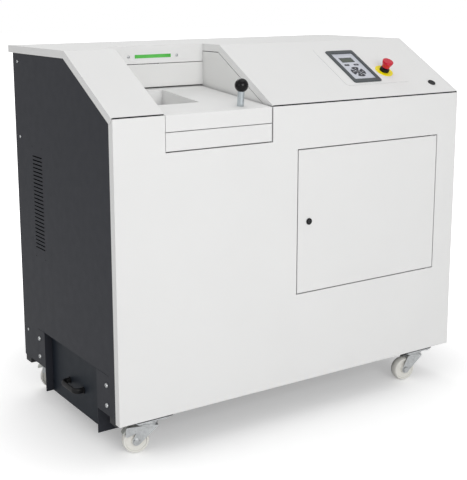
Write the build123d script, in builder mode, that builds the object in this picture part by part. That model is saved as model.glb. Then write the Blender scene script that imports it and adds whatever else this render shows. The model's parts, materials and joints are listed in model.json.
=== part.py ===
from build123d import *
import os
from math import atan2, cos, degrees, radians, sin, sqrt, tan

os.makedirs("parts", exist_ok=True)

# Frame: +X right, +Y back, +Z up, millimetres. The origin is on the floor, below the middle of the cabinet.

# Cabinet
cabinet_width = 1265.0
cabinet_depth = 700.0
ground_clearance = 117.0
front_height = 860.0
sheet = 2.0
panel_flange = 24.0
panel_gap = 3.5
feed_gap_left = 1.5
feed_gap_right = 5.0
side_inset = 0.5
side_bottom_rise = 11.0
rear_setback = 28.0

# Hood
hood_rise = 166.0
hood_overhang = 3.0
hood_skirt = 22.0
hood_setback = 4.0
hood_lift = 4.0
slope_run = 280.0
hood_rest_gap = 4.0
hinge_offset = 400.0
hinge_width = 80.0
hinge_knuckle_r = 7.0
hinge_pin_r = 3.0
hinge_drop = 35.0
hinge_reach = 13.0
hinge_leaf = 3.0
hinge_leaf_height = 50.0

# Feed recess and slide
recess_inset = 159.0
recess_width = 361.0
recess_depth = 380.0
recess_flange_drop = 54.0
recess_sill_drop = 103.0
table_tilt = 5.14
table_depth = 48.0
table_tail = 15.0
table_radius = 3.0
feed_slot = 5.0
pocket_inset = 30.0
pocket_width = 165.0
pocket_length = 216.0
pocket_setback = 136.0
rail_width = 6.0
knob_inset = 85.0
knob_setback = 44.0
knob_stem_r = 10.0
knob_stud_r = 5.0
knob_ball_r = 20.0
knob_height = 60.0

# Status window in the recess flange
window_width = 127.0
window_height = 11.0
window_drop = 32.0
window_screw_offset = 85.0

# Control plate, display and keys on the slope
plate_width = 262.0
plate_length = 205.0
plate_corner = 12.0
plate_thick = 1.2
plate_inset_right = 153.0
plate_base = 69.0
bezel_rise = 99.0
bezel_width = 113.0
bezel_length = 177.0
bezel_thick = 4.0
bezel_inset = 37.9
bezel_corner = 7.0
membrane_width = 90.0
membrane_length = 146.0
keypad_lip = 6.0
display_width = 49.0
display_length = 23.6
display_rise = 37.0
soft_key_offset = 19.3
soft_key_rise = 9.0
soft_key_width = 20.0
soft_key_length = 8.0
nav_drop = 30.0
nav_inner_r = 10.5
nav_outer_r = 26.0
nav_half_angle = 35.0
ok_key_r = 8.0
key_rise = 0.8
key_clearance = 0.15
key_flange = 0.8

# Emergency stop
estop_inset = 63.2
estop_rise = 63.8
estop_label_r = 30.0
estop_label_thick = 1.5
estop_collar_r = 15.0
estop_collar_height = 10.0
estop_barrel_r = 11.0
estop_barrel_length = 24.0
estop_stem_r = 8.0
estop_spigot_r = 5.0
estop_head_r = 18.0
estop_head_waist_r = 13.0
estop_head_height = 23.0
estop_head_edge = 2.5
estop_travel = 4.0

# Locks
hood_lock_inset = 69.0
hood_lock_rise = 53.8
hood_lock_r = 12.5
door_lock_inset = 41.5
door_lock_r = 10.0
lock_ring_height = 3.0
lock_barrel_r = 8.5
lock_core_r = 6.0
lock_cam_length = 52.0
lock_cam_width = 16.0
lock_cam_thick = 3.0

# Service door
door_inset = 88.0
door_width = 563.0
door_height = 440.0
door_rise = 285.0
door_depth = 18.0
door_pin_r = 4.0
door_pin_inset = 15.0
door_pin_setback = 8.0

# Bin, its housing and handle
bin_notch_front = 139.0
bin_notch_rear = 165.0
bin_notch_height = 120.0
housing_flange_front = 77.0
housing_flange_rear = 50.0
housing_length = 500.0
housing_drop = 67.0
housing_lip = 30.0
bin_recess = 25.0
bin_length = 455.0
bin_clearance = 1.5
bin_top_gap = 4.0
handle_spacing = 97.0
handle_shift = 8.0
handle_height = 76.0
handle_standoff = 33.0
handle_r = 5.5
handle_half_height = 9.0
handle_foot_r = 11.0
handle_foot_thick = 3.0
handle_bend = 16.5

# Side panel vents
vent_count = 25
vent_pitch = 12.0
vent_length = 71.0
vent_height = 4.0
vent_setback = 510.0
vent_top_drop = 333.0
vent_dot_r = 1.6

# Base and inner frame
base_thick = 6.0
base_setback = 12.0
base_side_inset = 60.0
base_front_notch = 40.0
tube = 40.0
tube_wall = 3.0
front_post_drop = 28.0
rear_post_drop = 31.0
beam_z = 460.0
bearer_spread = 115.0
motor_bearer_spread = 35.0

# Cutting unit
cutter_slots = 16
cutter_slot = 12.0
cutter_clearance = 0.6
disc_r = 45.0
hub_r = 29.0
hex_apothem = 20.0
hex_clearance = 0.05
shaft_r = 17.0
shaft_spacing = 76.0
bearing_clearance = 0.03
bearing_size = 66.0
bearing_thick = 18.0
end_plate_thick = 15.0
end_plate_half = 135.0
cutter_rear_gap = 42.0
end_plate_height = 180.0
shaft_rise = 90.0
hook_count = 3
hook_angle = 35.0
hook_root = 35.0
hook_undercut = 2.0
gear_teeth = 19
gear_width = 24.0
gear_gap = 4.0
tooth_root_half = 5.3
tooth_pitch_half = 4.2
tooth_tip_half = 1.9
comb_bar = 12.0
comb_height = 30.0
comb_finger_height = 12.0
throat_half = 60.0
discharge_half = 88.0
discharge_shift = -110.0
discharge_top = 262.0

# Drive and electrics
gearbox_length = 120.0
gearbox_half = 70.0
gearbox_height = 230.0
motor_r = 70.0
motor_length = 320.0
motor_rise = 150.0
motor_flange = 24.0
motor_cowl = 90.0
fin_count = 24
fin_height = 8.0
fin_length = 224.0
terminal_setback = 80.0
terminal_length = 96.0
terminal_width = 70.0
terminal_height = 48.0
control_box_width = 260.0
control_box_depth = 120.0
control_box_height = 400.0
control_box_inset = 70.0
control_box_base = 600.0
gland_inset = 200.0
gland_height = 300.0
gland_bore_r = 5.5
gland_thread_r = 9.5
gland_hex_r = 13.0
gland_reach = 24.0

# Casters
caster_inset = 115.0
caster_setback = 50.0
caster_height = 108.0
caster_plate_length = 105.0
caster_plate_width = 76.0
caster_plate_thick = 4.0
caster_bolt_x = 80.0
caster_bolt_y = 56.0
caster_bolt_r = 4.0
caster_trail = 36.0
wheel_r = 40.0
wheel_width = 28.0
wheel_hub_width = 34.0
wheel_bore_r = 6.0
fork_thick = 3.0
fork_gap = 0.5
fork_crown_drop = 18.0
kingpin_r = 7.0
race_r = 28.0
axle_head = 5.0
pedal_pin_x = 60.0
pedal_pin_z = 79.0
pedal_pin_r = 3.0
ear_x = 63.0
ear_z = 61.0
ear_r = 5.0
pedal_knuckle_r = 5.0
pedal_length = 23.0
pedal_released = 10.0
pedal_pressed = 50.0
pedal_width = 30.0
pedal_thick = 3.0

# Fasteners and general clearances
screw_head_r = 4.8
screw_head_height = 2.6
screw_shank_r = 2.5
dome_head_r = 7.0
dome_head_height = 4.4
dome_shank_r = 4.0
nut_height = 5.0
side_screw_low = 95.0
side_screw_middle = 117.0
side_screw_top = 48.0
dome_inset_front = 13.0
dome_inset_rear = 10.5
dome_drop = (31.0, 91.0)
seat_gap = 0.3
fit = 0.05

# Places worked out from the driving dimensions
front_y = -cabinet_depth / 2
rear_y = cabinet_depth / 2
left_x = -cabinet_width / 2
right_x = cabinet_width / 2
front_top_z = ground_clearance + front_height
hood_top_z = front_top_z + hood_rise
panel_back_y = front_y + panel_flange
rear_panel_y = rear_y - rear_setback
side_x = right_x - side_inset
side_inner_x = side_x - sheet
side_bottom_z = ground_clearance + side_bottom_rise

slope_low_y = front_y + hood_setback
slope_low_z = front_top_z + hood_lift
slope_bend_y = slope_low_y + slope_run
slope_angle = degrees(atan2(hood_top_z - slope_low_z, slope_run))
slope_sin = sin(radians(slope_angle))
slope_cos = cos(radians(slope_angle))
hood_width = cabinet_width + 2 * hood_overhang
slope = Plane(origin=(0, slope_low_y, slope_low_z), x_dir=(1, 0, 0), z_dir=(0, -slope_sin, slope_cos))

recess_x0 = left_x + recess_inset
recess_x1 = recess_x0 + recess_width
recess_x = (recess_x0 + recess_x1) / 2
recess_back_y = front_y + recess_depth
recess_sill_z = front_top_z - recess_sill_drop
recess_flange_z = hood_top_z - recess_flange_drop
tilt_sin = sin(radians(table_tilt))
tilt_cos = cos(radians(table_tilt))
table = Plane(origin=(0, front_y, front_top_z), x_dir=(1, 0, 0), z_dir=(0, -tilt_sin, tilt_cos))
table_x0 = recess_x0 + feed_gap_left
table_width = recess_width - feed_gap_left - feed_gap_right
table_end_y = recess_back_y + table_tail
pocket_x = recess_x0 + pocket_inset + pocket_width / 2
pocket_y = front_y + pocket_setback + pocket_length / 2
pocket_v = (pocket_y - front_y) / tilt_cos
cutter_y = rear_panel_y - sheet - cutter_rear_gap - end_plate_half
feed_travel = (cutter_y - pocket_y) / tilt_cos
feed_end_y = table_end_y + cutter_y - pocket_y + table_tail

beam_top_z = beam_z + tube
bearer_top_z = beam_top_z + tube
cutter_z = bearer_top_z + shaft_rise
cutter_top_z = bearer_top_z + end_plate_height
cutter_width = cutter_slots * cutter_slot
cutter_x0 = pocket_x - cutter_width / 2
cutter_x1 = pocket_x + cutter_width / 2
shaft_y = (cutter_y - shaft_spacing / 2, cutter_y + shaft_spacing / 2)
bearing_x0 = cutter_x0 - end_plate_thick - bearing_thick
bearing_x1 = cutter_x1 + end_plate_thick + bearing_thick
gear_x0 = bearing_x1 + gear_gap
gear_x1 = gear_x0 + gear_width
gearbox_x0 = gear_x1 + 2 * gear_gap
gearbox_x1 = gearbox_x0 + gearbox_length
middle_x0 = recess_x1 + sheet

door_x1 = right_x - door_inset
door_x0 = door_x1 - door_width
door_z0 = ground_clearance + door_rise
door_z1 = door_z0 + door_height
door_pin_x = door_x1 - door_pin_inset
door_pin_y = front_y + door_pin_setback
door_lock_x = door_x0 + door_lock_inset
door_lock_z = (door_z0 + door_z1) / 2

notch_y0 = front_y + bin_notch_front
notch_y1 = rear_panel_y - bin_notch_rear
notch_top_z = side_bottom_z + bin_notch_height
housing_z = ground_clearance - housing_drop
housing_x0 = -side_x
housing_x1 = housing_x0 + housing_length
bin_x0 = left_x + bin_recess
bin_z0 = housing_z + sheet + seat_gap
bin_z1 = notch_top_z - bin_top_gap

control_x = right_x - plate_inset_right - plate_width / 2
control_v = plate_base + plate_length / 2
bezel_x = control_x - plate_width / 2 + bezel_inset + bezel_width / 2
bezel_v = plate_base + bezel_rise
estop_x = control_x + plate_width / 2 - estop_inset
estop_v = plate_base + estop_rise
nav_v = bezel_v - nav_drop
lock_v = hood_lock_rise
lock_x = right_x - hood_lock_inset

base_top_z = caster_height + base_thick
base_front_y = front_y + base_setback


def hood_line(depth, inset=0.0):
    """Low end, bend and rear end of the hood's outline, a depth inside it, with both ends drawn in."""
    low = (
        slope_low_y + depth * slope_sin + inset * slope_cos,
        slope_low_z - depth * slope_cos + inset * slope_sin,
    )
    bend = (slope_bend_y + depth * tan(radians(slope_angle / 2)), hood_top_z - depth)
    return [low, bend, (rear_y - inset, hood_top_z - depth)]


def hood_height(y, depth):
    """Height of the hood's outline, a depth inside it, at one place from front to back."""
    low, bend, _ = hood_line(depth)
    if y >= bend[0]:
        return bend[1]
    return low[1] + (y - low[0]) * (bend[1] - low[1]) / (bend[0] - low[0])


def table_height(y, depth=0.0):
    """Height of the tilted table plane, or of a plane a depth below it, at one place from front to back."""
    return front_top_z + (y - front_y) * tilt_sin / tilt_cos - depth / tilt_cos


def save(piece, name):
    """Label one finished piece and write it to its own file."""
    piece.label = name
    export_step(piece, f"parts/{name}.step")


def block(x0, x1, y0, y1, z0, z1, mode=Mode.ADD):
    """Box between two corners, inside the part that is being built."""
    with Locations(((x0 + x1) / 2, (y0 + y1) / 2, (z0 + z1) / 2)):
        Box(x1 - x0, y1 - y0, z1 - z0, mode=mode)


def screw(head_r, head_height, shank_r, shank_length):
    """Domed screw that points down, with its head on the local XY plane."""
    with BuildPart() as piece:
        Cylinder(head_r, head_height, align=(Align.CENTER, Align.CENTER, Align.MIN))
        fillet(piece.edges().sort_by(Axis.Z)[-1], 0.8 * head_height)
        Cylinder(shank_r, shank_length, align=(Align.CENTER, Align.CENTER, Align.MAX))
    return piece.part


# Front panel: a shallow tray, open at the back, with turned-in edges round the feed and door openings
with BuildPart() as front_panel:
    block(left_x, right_x, front_y, panel_back_y, ground_clearance, front_top_z)
    block(
        left_x + sheet, right_x - sheet, front_y + sheet, panel_back_y,
        ground_clearance + sheet, front_top_z - sheet, Mode.SUBTRACT,
    )
    block(
        recess_x0 - sheet, recess_x1 + sheet, front_y, panel_back_y,
        recess_sill_z - sheet, front_top_z,
    )
    block(
        door_x0 - panel_gap - sheet, door_x1 + panel_gap + sheet, front_y, panel_back_y,
        door_z0 - panel_gap - sheet, door_z1 + panel_gap + sheet,
    )
    block(recess_x0, recess_x1, front_y, panel_back_y, recess_sill_z, front_top_z, Mode.SUBTRACT)
    block(
        door_x0 - panel_gap, door_x1 + panel_gap, front_y, panel_back_y,
        door_z0 - panel_gap, door_z1 + panel_gap, Mode.SUBTRACT,
    )
    with Locations((door_pin_x, door_pin_y, (door_z0 + door_z1) / 2)):
        Cylinder(door_pin_r + fit, door_height + 4 * panel_gap, mode=Mode.SUBTRACT)
save(front_panel.part, "front_panel")

# Service door: a tray with a pivot stud above and below, near its right edge
door_stud = panel_gap + 2 * sheet
with BuildPart() as service_door:
    block(door_x0, door_x1, front_y, front_y + door_depth, door_z0, door_z1)
    block(
        door_x0 + sheet, door_x1 - sheet, front_y + sheet, front_y + door_depth,
        door_z0 + sheet, door_z1 - sheet, Mode.SUBTRACT,
    )
    with Locations(
        (door_pin_x, door_pin_y, door_z0 + (sheet - door_stud) / 2),
        (door_pin_x, door_pin_y, door_z1 - (sheet - door_stud) / 2),
    ):
        Cylinder(door_pin_r, door_stud + sheet)
    with Locations((door_lock_x, front_y + sheet / 2, door_lock_z)):
        Cylinder(lock_barrel_r + fit, 2 * sheet, rotation=(90, 0, 0), mode=Mode.SUBTRACT)
save(service_door.part, "service_door")


def lock_ring(face, ring_r, depth):
    """Fixed part of a quarter-turn lock: a ring on the sheet and a barrel behind it."""
    with BuildPart() as ring:
        with BuildSketch(face):
            Circle(ring_r)
        extrude(amount=lock_ring_height)
        with BuildSketch(face):
            Circle(lock_barrel_r)
        extrude(amount=-depth)
        with BuildSketch(face.offset(lock_ring_height)):
            Circle(lock_core_r + fit)
        extrude(amount=-lock_ring_height - depth, mode=Mode.SUBTRACT)
        fillet(ring.edges().filter_by(GeomType.CIRCLE).group_by(SortBy.RADIUS)[-1], sheet / 4)
    return ring


def lock_core(face, depth, cam_angle):
    """Turning part of a quarter-turn lock: a core with a slot, and a cam behind the barrel."""
    with BuildPart() as core:
        with BuildSketch(face.offset(lock_ring_height - seat_gap)):
            Circle(lock_core_r)
        extrude(amount=-lock_ring_height - depth)
        with BuildSketch(face.offset(lock_ring_height - seat_gap)):
            Rectangle(lock_core_r * 1.4, lock_core_r * 0.3)
        extrude(amount=-lock_ring_height / 2, mode=Mode.SUBTRACT)
        with BuildSketch(face.offset(-depth - seat_gap)):
            Circle(lock_cam_width / 2)
            with Locations(Location((0, 0, 0), (0, 0, cam_angle))):
                SlotCenterPoint((lock_cam_length / 2, 0), (lock_cam_length, 0), lock_cam_width)
                with Locations((lock_cam_length / 4, 0)):
                    Rectangle(lock_cam_length / 2, lock_cam_width)
        extrude(amount=-lock_cam_thick)
    return core


# Door lock: its cam rests pointing down, and turns left behind the front panel's edge
door_face = Plane(origin=(door_lock_x, front_y, door_lock_z), x_dir=(1, 0, 0), z_dir=(0, -1, 0))
door_lock_depth = panel_flange + sheet
door_lock = lock_ring(door_face, door_lock_r, door_lock_depth)
save(door_lock.part, "door_lock")
door_lock_core = lock_core(door_face, door_lock_depth, -90)
save(door_lock_core.part, "door_lock_core")


def side_outline():
    """Outline of a side panel from its front edge to its rear edge, under the hood's outline."""
    depth = sheet + hood_rest_gap
    bend = hood_line(depth)[1]
    return [
        (panel_back_y, side_bottom_z),
        (rear_panel_y - sheet, side_bottom_z),
        (rear_panel_y - sheet, bend[1]),
        bend,
        (panel_back_y, hood_height(panel_back_y, depth)),
    ]


side_screw_y = rear_panel_y - sheet - tube + 2 * tube_wall
side_screw_z = (side_bottom_z + side_screw_low, front_top_z - side_screw_middle, hood_top_z - side_screw_top)
vent_y = front_y + vent_setback
vent_z0 = hood_top_z - vent_top_drop - (vent_count - 1) * vent_pitch
vent_middle_z = vent_z0 + (vent_count - 1) * vent_pitch / 2


def side_panel(x0):
    """Side panel sheet with vent slots, the four small holes round them and its screw holes."""
    with BuildPart() as panel:
        with BuildSketch(Plane.YZ.offset(x0)):
            Polygon(*side_outline(), align=None)
            with Locations((vent_y, vent_middle_z)):
                with GridLocations(0, vent_pitch, 1, vent_count):
                    SlotOverall(vent_length, vent_height, mode=Mode.SUBTRACT)
                with GridLocations(vent_length, (vent_count + 4) * vent_pitch, 2, 2):
                    Circle(vent_dot_r, mode=Mode.SUBTRACT)
            with Locations(*[(side_screw_y, z) for z in side_screw_z]):
                Circle(screw_shank_r + fit, mode=Mode.SUBTRACT)
        extrude(amount=sheet)
    return panel


right_side_panel = side_panel(side_inner_x)
save(right_side_panel.part, "right_side_panel")

flange_y0 = notch_y0 - housing_flange_front
flange_y1 = notch_y1 + housing_flange_rear
flange_top_z = notch_top_z - seat_gap * 3
with BuildPart() as left_side_panel:
    add(side_panel(-side_x).part)
    block(
        -side_x, -side_inner_x, flange_y0 - seat_gap, flange_y1 + seat_gap,
        side_bottom_z, notch_top_z, Mode.SUBTRACT,
    )
save(left_side_panel.part, "left_side_panel")

# Rear panel with a grille of slots in front of the control box, and the gland's hole
gland_x = right_x - gland_inset
rear_vents = 12
rear_panel_top_z = hood_top_z - sheet - hood_skirt
rear_screw_x = (-side_inner_x + tube / 2, side_inner_x - tube / 2)
with BuildPart() as rear_panel:
    with BuildSketch(Plane.XZ.offset(-rear_panel_y)):
        with Locations((0, (side_bottom_z + rear_panel_top_z) / 2)):
            Rectangle(2 * side_x, rear_panel_top_z - side_bottom_z)
        with Locations((0, vent_middle_z)):
            with GridLocations(2 * vent_length, vent_pitch, 3, rear_vents):
                SlotOverall(vent_length, vent_height, mode=Mode.SUBTRACT)
        with Locations((gland_x, gland_height)):
            Circle(gland_thread_r + fit, mode=Mode.SUBTRACT)
        with Locations(*[(x, z) for x in rear_screw_x for z in side_screw_z]):
            Circle(screw_shank_r + fit, mode=Mode.SUBTRACT)
    extrude(amount=sheet)
save(rear_panel.part, "rear_panel")

# Cable gland in the rear panel, with an open bore for the mains lead
with BuildPart() as cable_gland:
    with BuildSketch(Plane.XZ.offset(-rear_panel_y)):
        with Locations((gland_x, gland_height)):
            RegularPolygon(gland_hex_r, 6)
    extrude(amount=-gland_reach / 3)
    with BuildSketch(Plane.XZ.offset(-rear_panel_y)):
        with Locations((gland_x, gland_height)):
            Circle(gland_thread_r)
    extrude(amount=-gland_reach)
    with BuildSketch(Plane.XZ.offset(-rear_panel_y)):
        with Locations((gland_x, gland_height)):
            Circle(gland_thread_r)
    extrude(amount=gland_reach / 2)
    with BuildSketch(Plane.XZ.offset(-rear_panel_y + sheet)):
        with Locations((gland_x, gland_height)):
            RegularPolygon(gland_hex_r, 6)
    extrude(amount=gland_reach / 4)
    with Locations((gland_x, rear_panel_y, gland_height)):
        Cylinder(gland_bore_r, 4 * gland_reach, rotation=(90, 0, 0), mode=Mode.SUBTRACT)
    fillet(cable_gland.edges().filter_by(GeomType.CIRCLE).sort_by(Axis.Y)[-1], sheet / 2)
save(cable_gland.part, "cable_gland")

# Base plate: tabs under the corner posts, set back between the front casters, slotted for the bin housing
housing_y0 = notch_y0 - sheet
housing_y1 = notch_y1 + sheet
caster_x = right_x - caster_inset
caster_y = (front_y + caster_setback, rear_panel_y - sheet - caster_plate_width / 2)
base_x = side_inner_x - base_side_inset
notch_end_x = caster_x - caster_plate_length / 2 - 2 * base_thick
with BuildPart() as base_plate:
    block(-base_x, base_x, base_front_y, rear_panel_y - sheet, caster_height, base_top_z)
    for x0, x1 in ((-side_inner_x, -base_x), (base_x, side_inner_x)):
        for y0 in (panel_back_y, rear_panel_y - sheet - tube):
            block(x0, x1, y0, y0 + tube, caster_height, base_top_z)
    block(
        -notch_end_x, notch_end_x, base_front_y, base_front_y + base_front_notch,
        caster_height, base_top_z, Mode.SUBTRACT,
    )
    block(
        -side_inner_x, housing_x1, housing_y0, housing_y1, caster_height, base_top_z, Mode.SUBTRACT,
    )
    with Locations(*[(x, y, base_top_z) for x in (-caster_x, caster_x) for y in caster_y]):
        with GridLocations(caster_bolt_x, caster_bolt_y, 2, 2):
            Cylinder(caster_bolt_r + fit, 4 * base_thick, mode=Mode.SUBTRACT)
save(base_plate.part, "base_plate")


def tube_x(x0, x1, y, z):
    """Square tube along X, from its lower front edge."""
    block(x0, x1, y, y + tube, z, z + tube)
    block(x0, x1, y + tube_wall, y + tube - tube_wall, z + tube_wall, z + tube - tube_wall, Mode.SUBTRACT)


def tube_y(x, y0, y1, z):
    """Square tube along Y, from its lower left edge."""
    block(x, x + tube, y0, y1, z, z + tube)
    block(x + tube_wall, x + tube - tube_wall, y0, y1, z + tube_wall, z + tube - tube_wall, Mode.SUBTRACT)


def tube_z(x, y, z0, z1):
    """Square tube along Z, from its front left edge."""
    block(x, x + tube, y, y + tube, z0, z1)
    block(x + tube_wall, x + tube - tube_wall, y + tube_wall, y + tube - tube_wall, z0, z1, Mode.SUBTRACT)


def make_tube(kind, *place):
    """One tube as a part of its own."""
    with BuildPart() as piece:
        kind(*place)
    return piece.part


def corner_post(x, side):
    """Rear corner post with holes for the screws of the side panel and the rear panel."""
    with BuildPart() as post:
        tube_z(x, rear_post_y, base_top_z, hood_top_z - rear_post_drop)
        with Locations(*[(side * side_inner_x, side_screw_y, z) for z in side_screw_z]):
            Cylinder(screw_shank_r + fit, 4 * tube_wall, rotation=(0, 90, 0), mode=Mode.SUBTRACT)
        with Locations(*[(x + tube / 2, rear_post_y + tube, z) for z in side_screw_z]):
            Cylinder(screw_shank_r + fit, 4 * tube_wall, rotation=(90, 0, 0), mode=Mode.SUBTRACT)
    return post.part


# Inner frame: posts on the base plate, beams between them and bearers on the beams
post_x = (-side_inner_x, middle_x0, side_inner_x - tube)
middle_post_y = front_y + door_lock_depth + lock_cam_thick + 2 * sheet
rear_post_y = rear_panel_y - sheet - tube
bearer_y = [cutter_y + side * bearer_spread - tube / 2 for side in (-1, 1)]
motor_y = shaft_y[0]
motor_bearer_y = [motor_y + side * motor_bearer_spread - tube / 2 for side in (-1, 1)]
frame_tubes = [
    corner_post(post_x[0], -1),
    corner_post(post_x[2], 1),
    make_tube(tube_z, post_x[1], rear_post_y, base_top_z, hood_top_z - rear_post_drop),
]
for x, y in zip(post_x, (panel_back_y, middle_post_y, panel_back_y)):
    frame_tubes.append(make_tube(tube_z, x, y, base_top_z, front_top_z - front_post_drop))
    frame_tubes.append(make_tube(tube_y, x, y + tube, rear_post_y, beam_z))
for y in bearer_y:
    frame_tubes.append(make_tube(tube_x, post_x[0], middle_x0 + tube, y, beam_top_z))
for y in motor_bearer_y:
    frame_tubes.append(make_tube(tube_x, gearbox_x0, post_x[2] + tube, y, beam_top_z))
save(Compound(children=frame_tubes), "inner_frame")

# Screws: small domed ones along the rear edges, larger domed ones with nuts on the housing's flanges
dome_y = (flange_y0 + dome_inset_front, flange_y1 - dome_inset_rear)
dome_z = [notch_top_z - drop for drop in dome_drop]
small_screw = screw(screw_head_r, screw_head_height, screw_shank_r, sheet + 2 * tube_wall)
with BuildPart() as dome_screw:
    add(screw(dome_head_r, dome_head_height, dome_shank_r, sheet + nut_height))
    with BuildSketch(Plane.XY.offset(-sheet)):
        RegularPolygon(dome_head_r, 6)
    extrude(amount=-nut_height)
screws = []
for z in side_screw_z:
    for side in (-1, 1):
        screws.append(Plane((side * side_x, side_screw_y, z), z_dir=(side, 0, 0)).location * small_screw)
    for x in rear_screw_x:
        screws.append(Plane((x, rear_panel_y, z), z_dir=(0, 1, 0)).location * small_screw)
for y in dome_y:
    for z in dome_z:
        screws.append(Plane((-side_x, y, z), z_dir=(-1, 0, 0)).location * dome_screw.part)
save(Compound(children=screws), "cabinet_screws")

# Bin housing: two guide walls with lips below, joined at the inner end, and flanges in the side panel's notch
with BuildPart() as bin_housing:
    for y0, lip_y0 in ((housing_y0, notch_y0), (notch_y1, notch_y1 - housing_lip)):
        block(housing_x0, housing_x1, y0, y0 + sheet, housing_z, flange_top_z)
        block(bin_x0 + 3 * sheet, housing_x1, lip_y0, lip_y0 + housing_lip, housing_z, housing_z + sheet)
    block(housing_x1 - sheet, housing_x1, housing_y0, housing_y1, housing_z, base_top_z)
    block(housing_x0, housing_x0 + sheet, flange_y0, notch_y0, side_bottom_z, flange_top_z)
    block(housing_x0, housing_x0 + sheet, notch_y1, flange_y1, side_bottom_z, flange_top_z)
    with Locations(*[(housing_x0, y, z) for y in dome_y for z in dome_z]):
        Cylinder(dome_shank_r + fit, 4 * sheet, rotation=(0, 90, 0), mode=Mode.SUBTRACT)
save(bin_housing.part, "bin_housing")

# Collection bin: an open box whose front hides the housing's lips
bin_y0 = notch_y0 + bin_clearance
bin_y1 = notch_y1 - bin_clearance
bin_x1 = bin_x0 + bin_length
with BuildPart() as collection_bin:
    block(bin_x0, bin_x1, bin_y0, bin_y1, bin_z0, bin_z1)
    block(
        bin_x0 + sheet, bin_x1 - sheet, bin_y0 + sheet, bin_y1 - sheet,
        bin_z0 + sheet, bin_z1, Mode.SUBTRACT,
    )
    block(bin_x0, bin_x0 + sheet, bin_y0, bin_y1, housing_z, bin_z1)
save(collection_bin.part, "collection_bin")

# Bow handle on the bin's front
handle_y = (notch_y0 + notch_y1) / 2 + handle_shift
handle_z = housing_z + handle_height
handle_x = bin_x0 - handle_standoff + handle_r
handle_foot_y = (handle_y - handle_spacing / 2, handle_y + handle_spacing / 2)
with BuildPart() as bin_handle:
    with BuildLine():
        FilletPolyline(
            (bin_x0 - handle_foot_thick, handle_foot_y[0], handle_z),
            (handle_x, handle_foot_y[0], handle_z),
            (handle_x, handle_foot_y[1], handle_z),
            (bin_x0 - handle_foot_thick, handle_foot_y[1], handle_z),
            radius=handle_bend,
        )
    foot_at = (bin_x0 - handle_foot_thick, handle_foot_y[0], handle_z)
    foot_face = Plane(foot_at, x_dir=(0, 1, 0), z_dir=(-1, 0, 0))
    with BuildSketch(foot_face):
        Ellipse(handle_r, handle_half_height)
    sweep()
    with Locations(*[(bin_x0 - handle_foot_thick / 2, y, handle_z) for y in handle_foot_y]):
        Cylinder(handle_foot_r, handle_foot_thick, rotation=(0, 90, 0))
save(bin_handle.part, "bin_handle")

# Hood: folded sheet with a skirt all round and round the feed recess
with BuildPart() as hood_hollow:
    with BuildSketch(Plane.YZ.offset(-hood_width / 2 + sheet)):
        Polygon(*hood_line(sheet, sheet), *reversed(hood_line(2 * hood_skirt, sheet)), align=None)
    extrude(amount=hood_width - 2 * sheet)
    block(
        recess_x0 - sheet, recess_x1 + sheet, 2 * front_y, recess_back_y + sheet,
        ground_clearance, 2 * hood_top_z, Mode.SUBTRACT,
    )

estop_hole_r = estop_barrel_r + fit
keypad_width = membrane_width + 2 * keypad_lip
keypad_length = membrane_length + 2 * keypad_lip
window_z = hood_top_z - window_drop
with BuildPart() as hood:
    with BuildSketch(Plane.YZ.offset(-hood_width / 2)):
        Polygon(*hood_line(0), *reversed(hood_line(hood_skirt)), align=None)
    extrude(amount=hood_width)
    block(
        recess_x0, recess_x1, 2 * front_y, recess_back_y, ground_clearance, 2 * hood_top_z, Mode.SUBTRACT,
    )
    add(hood_hollow.part, mode=Mode.SUBTRACT)
    block(
        left_x - side_inset, right_x + side_inset, 2 * front_y, panel_back_y + sheet,
        0, front_top_z + hood_lift / 2, Mode.SUBTRACT,
    )
    block(
        recess_x0 + seat_gap, recess_x1 - seat_gap, recess_back_y, recess_back_y + sheet,
        recess_flange_z, hood_top_z,
    )
    with BuildSketch(slope):
        with Locations((bezel_x, bezel_v)):
            Rectangle(keypad_width, keypad_length)
        with Locations((estop_x, estop_v)):
            Circle(estop_hole_r)
        with Locations((lock_x, lock_v)):
            Circle(lock_barrel_r + fit)
    extrude(amount=-2 * sheet, mode=Mode.SUBTRACT)
    with BuildSketch(Plane.XZ.offset(-recess_back_y)):
        with Locations((recess_x, window_z)):
            Rectangle(window_width, window_height)
            with GridLocations(2 * window_screw_offset, 0, 2, 1):
                Circle(screw_shank_r + fit)
    extrude(amount=-2 * sheet, mode=Mode.SUBTRACT)
save(hood.part, "hood")

# Hood hinges: fixed leaves with pins on the rear panel, moving leaves inside the hood's rear skirt
hinge_y = rear_panel_y + hinge_reach
hinge_z = hood_top_z - hinge_drop
skirt_y = rear_y - sheet
knuckle = hinge_width / 3
with BuildPart() as hood_hinges:
    for x in (-hinge_offset, hinge_offset):
        for knuckle_x in (x - knuckle, x + knuckle):
            with Locations((knuckle_x, hinge_y, hinge_z)):
                Cylinder(hinge_knuckle_r, knuckle, rotation=(0, 90, 0))
            block(
                knuckle_x - knuckle / 2, knuckle_x + knuckle / 2,
                rear_panel_y, hinge_y, hinge_z - hinge_knuckle_r, hinge_z,
            )
        block(
            x - hinge_width / 2, x + hinge_width / 2, rear_panel_y, rear_panel_y + hinge_leaf,
            hinge_z - hinge_leaf_height, hinge_z,
        )
        with Locations((x, hinge_y, hinge_z)):
            Cylinder(hinge_pin_r, hinge_width, rotation=(0, 90, 0))
save(hood_hinges.part, "hood_hinges")

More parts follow.
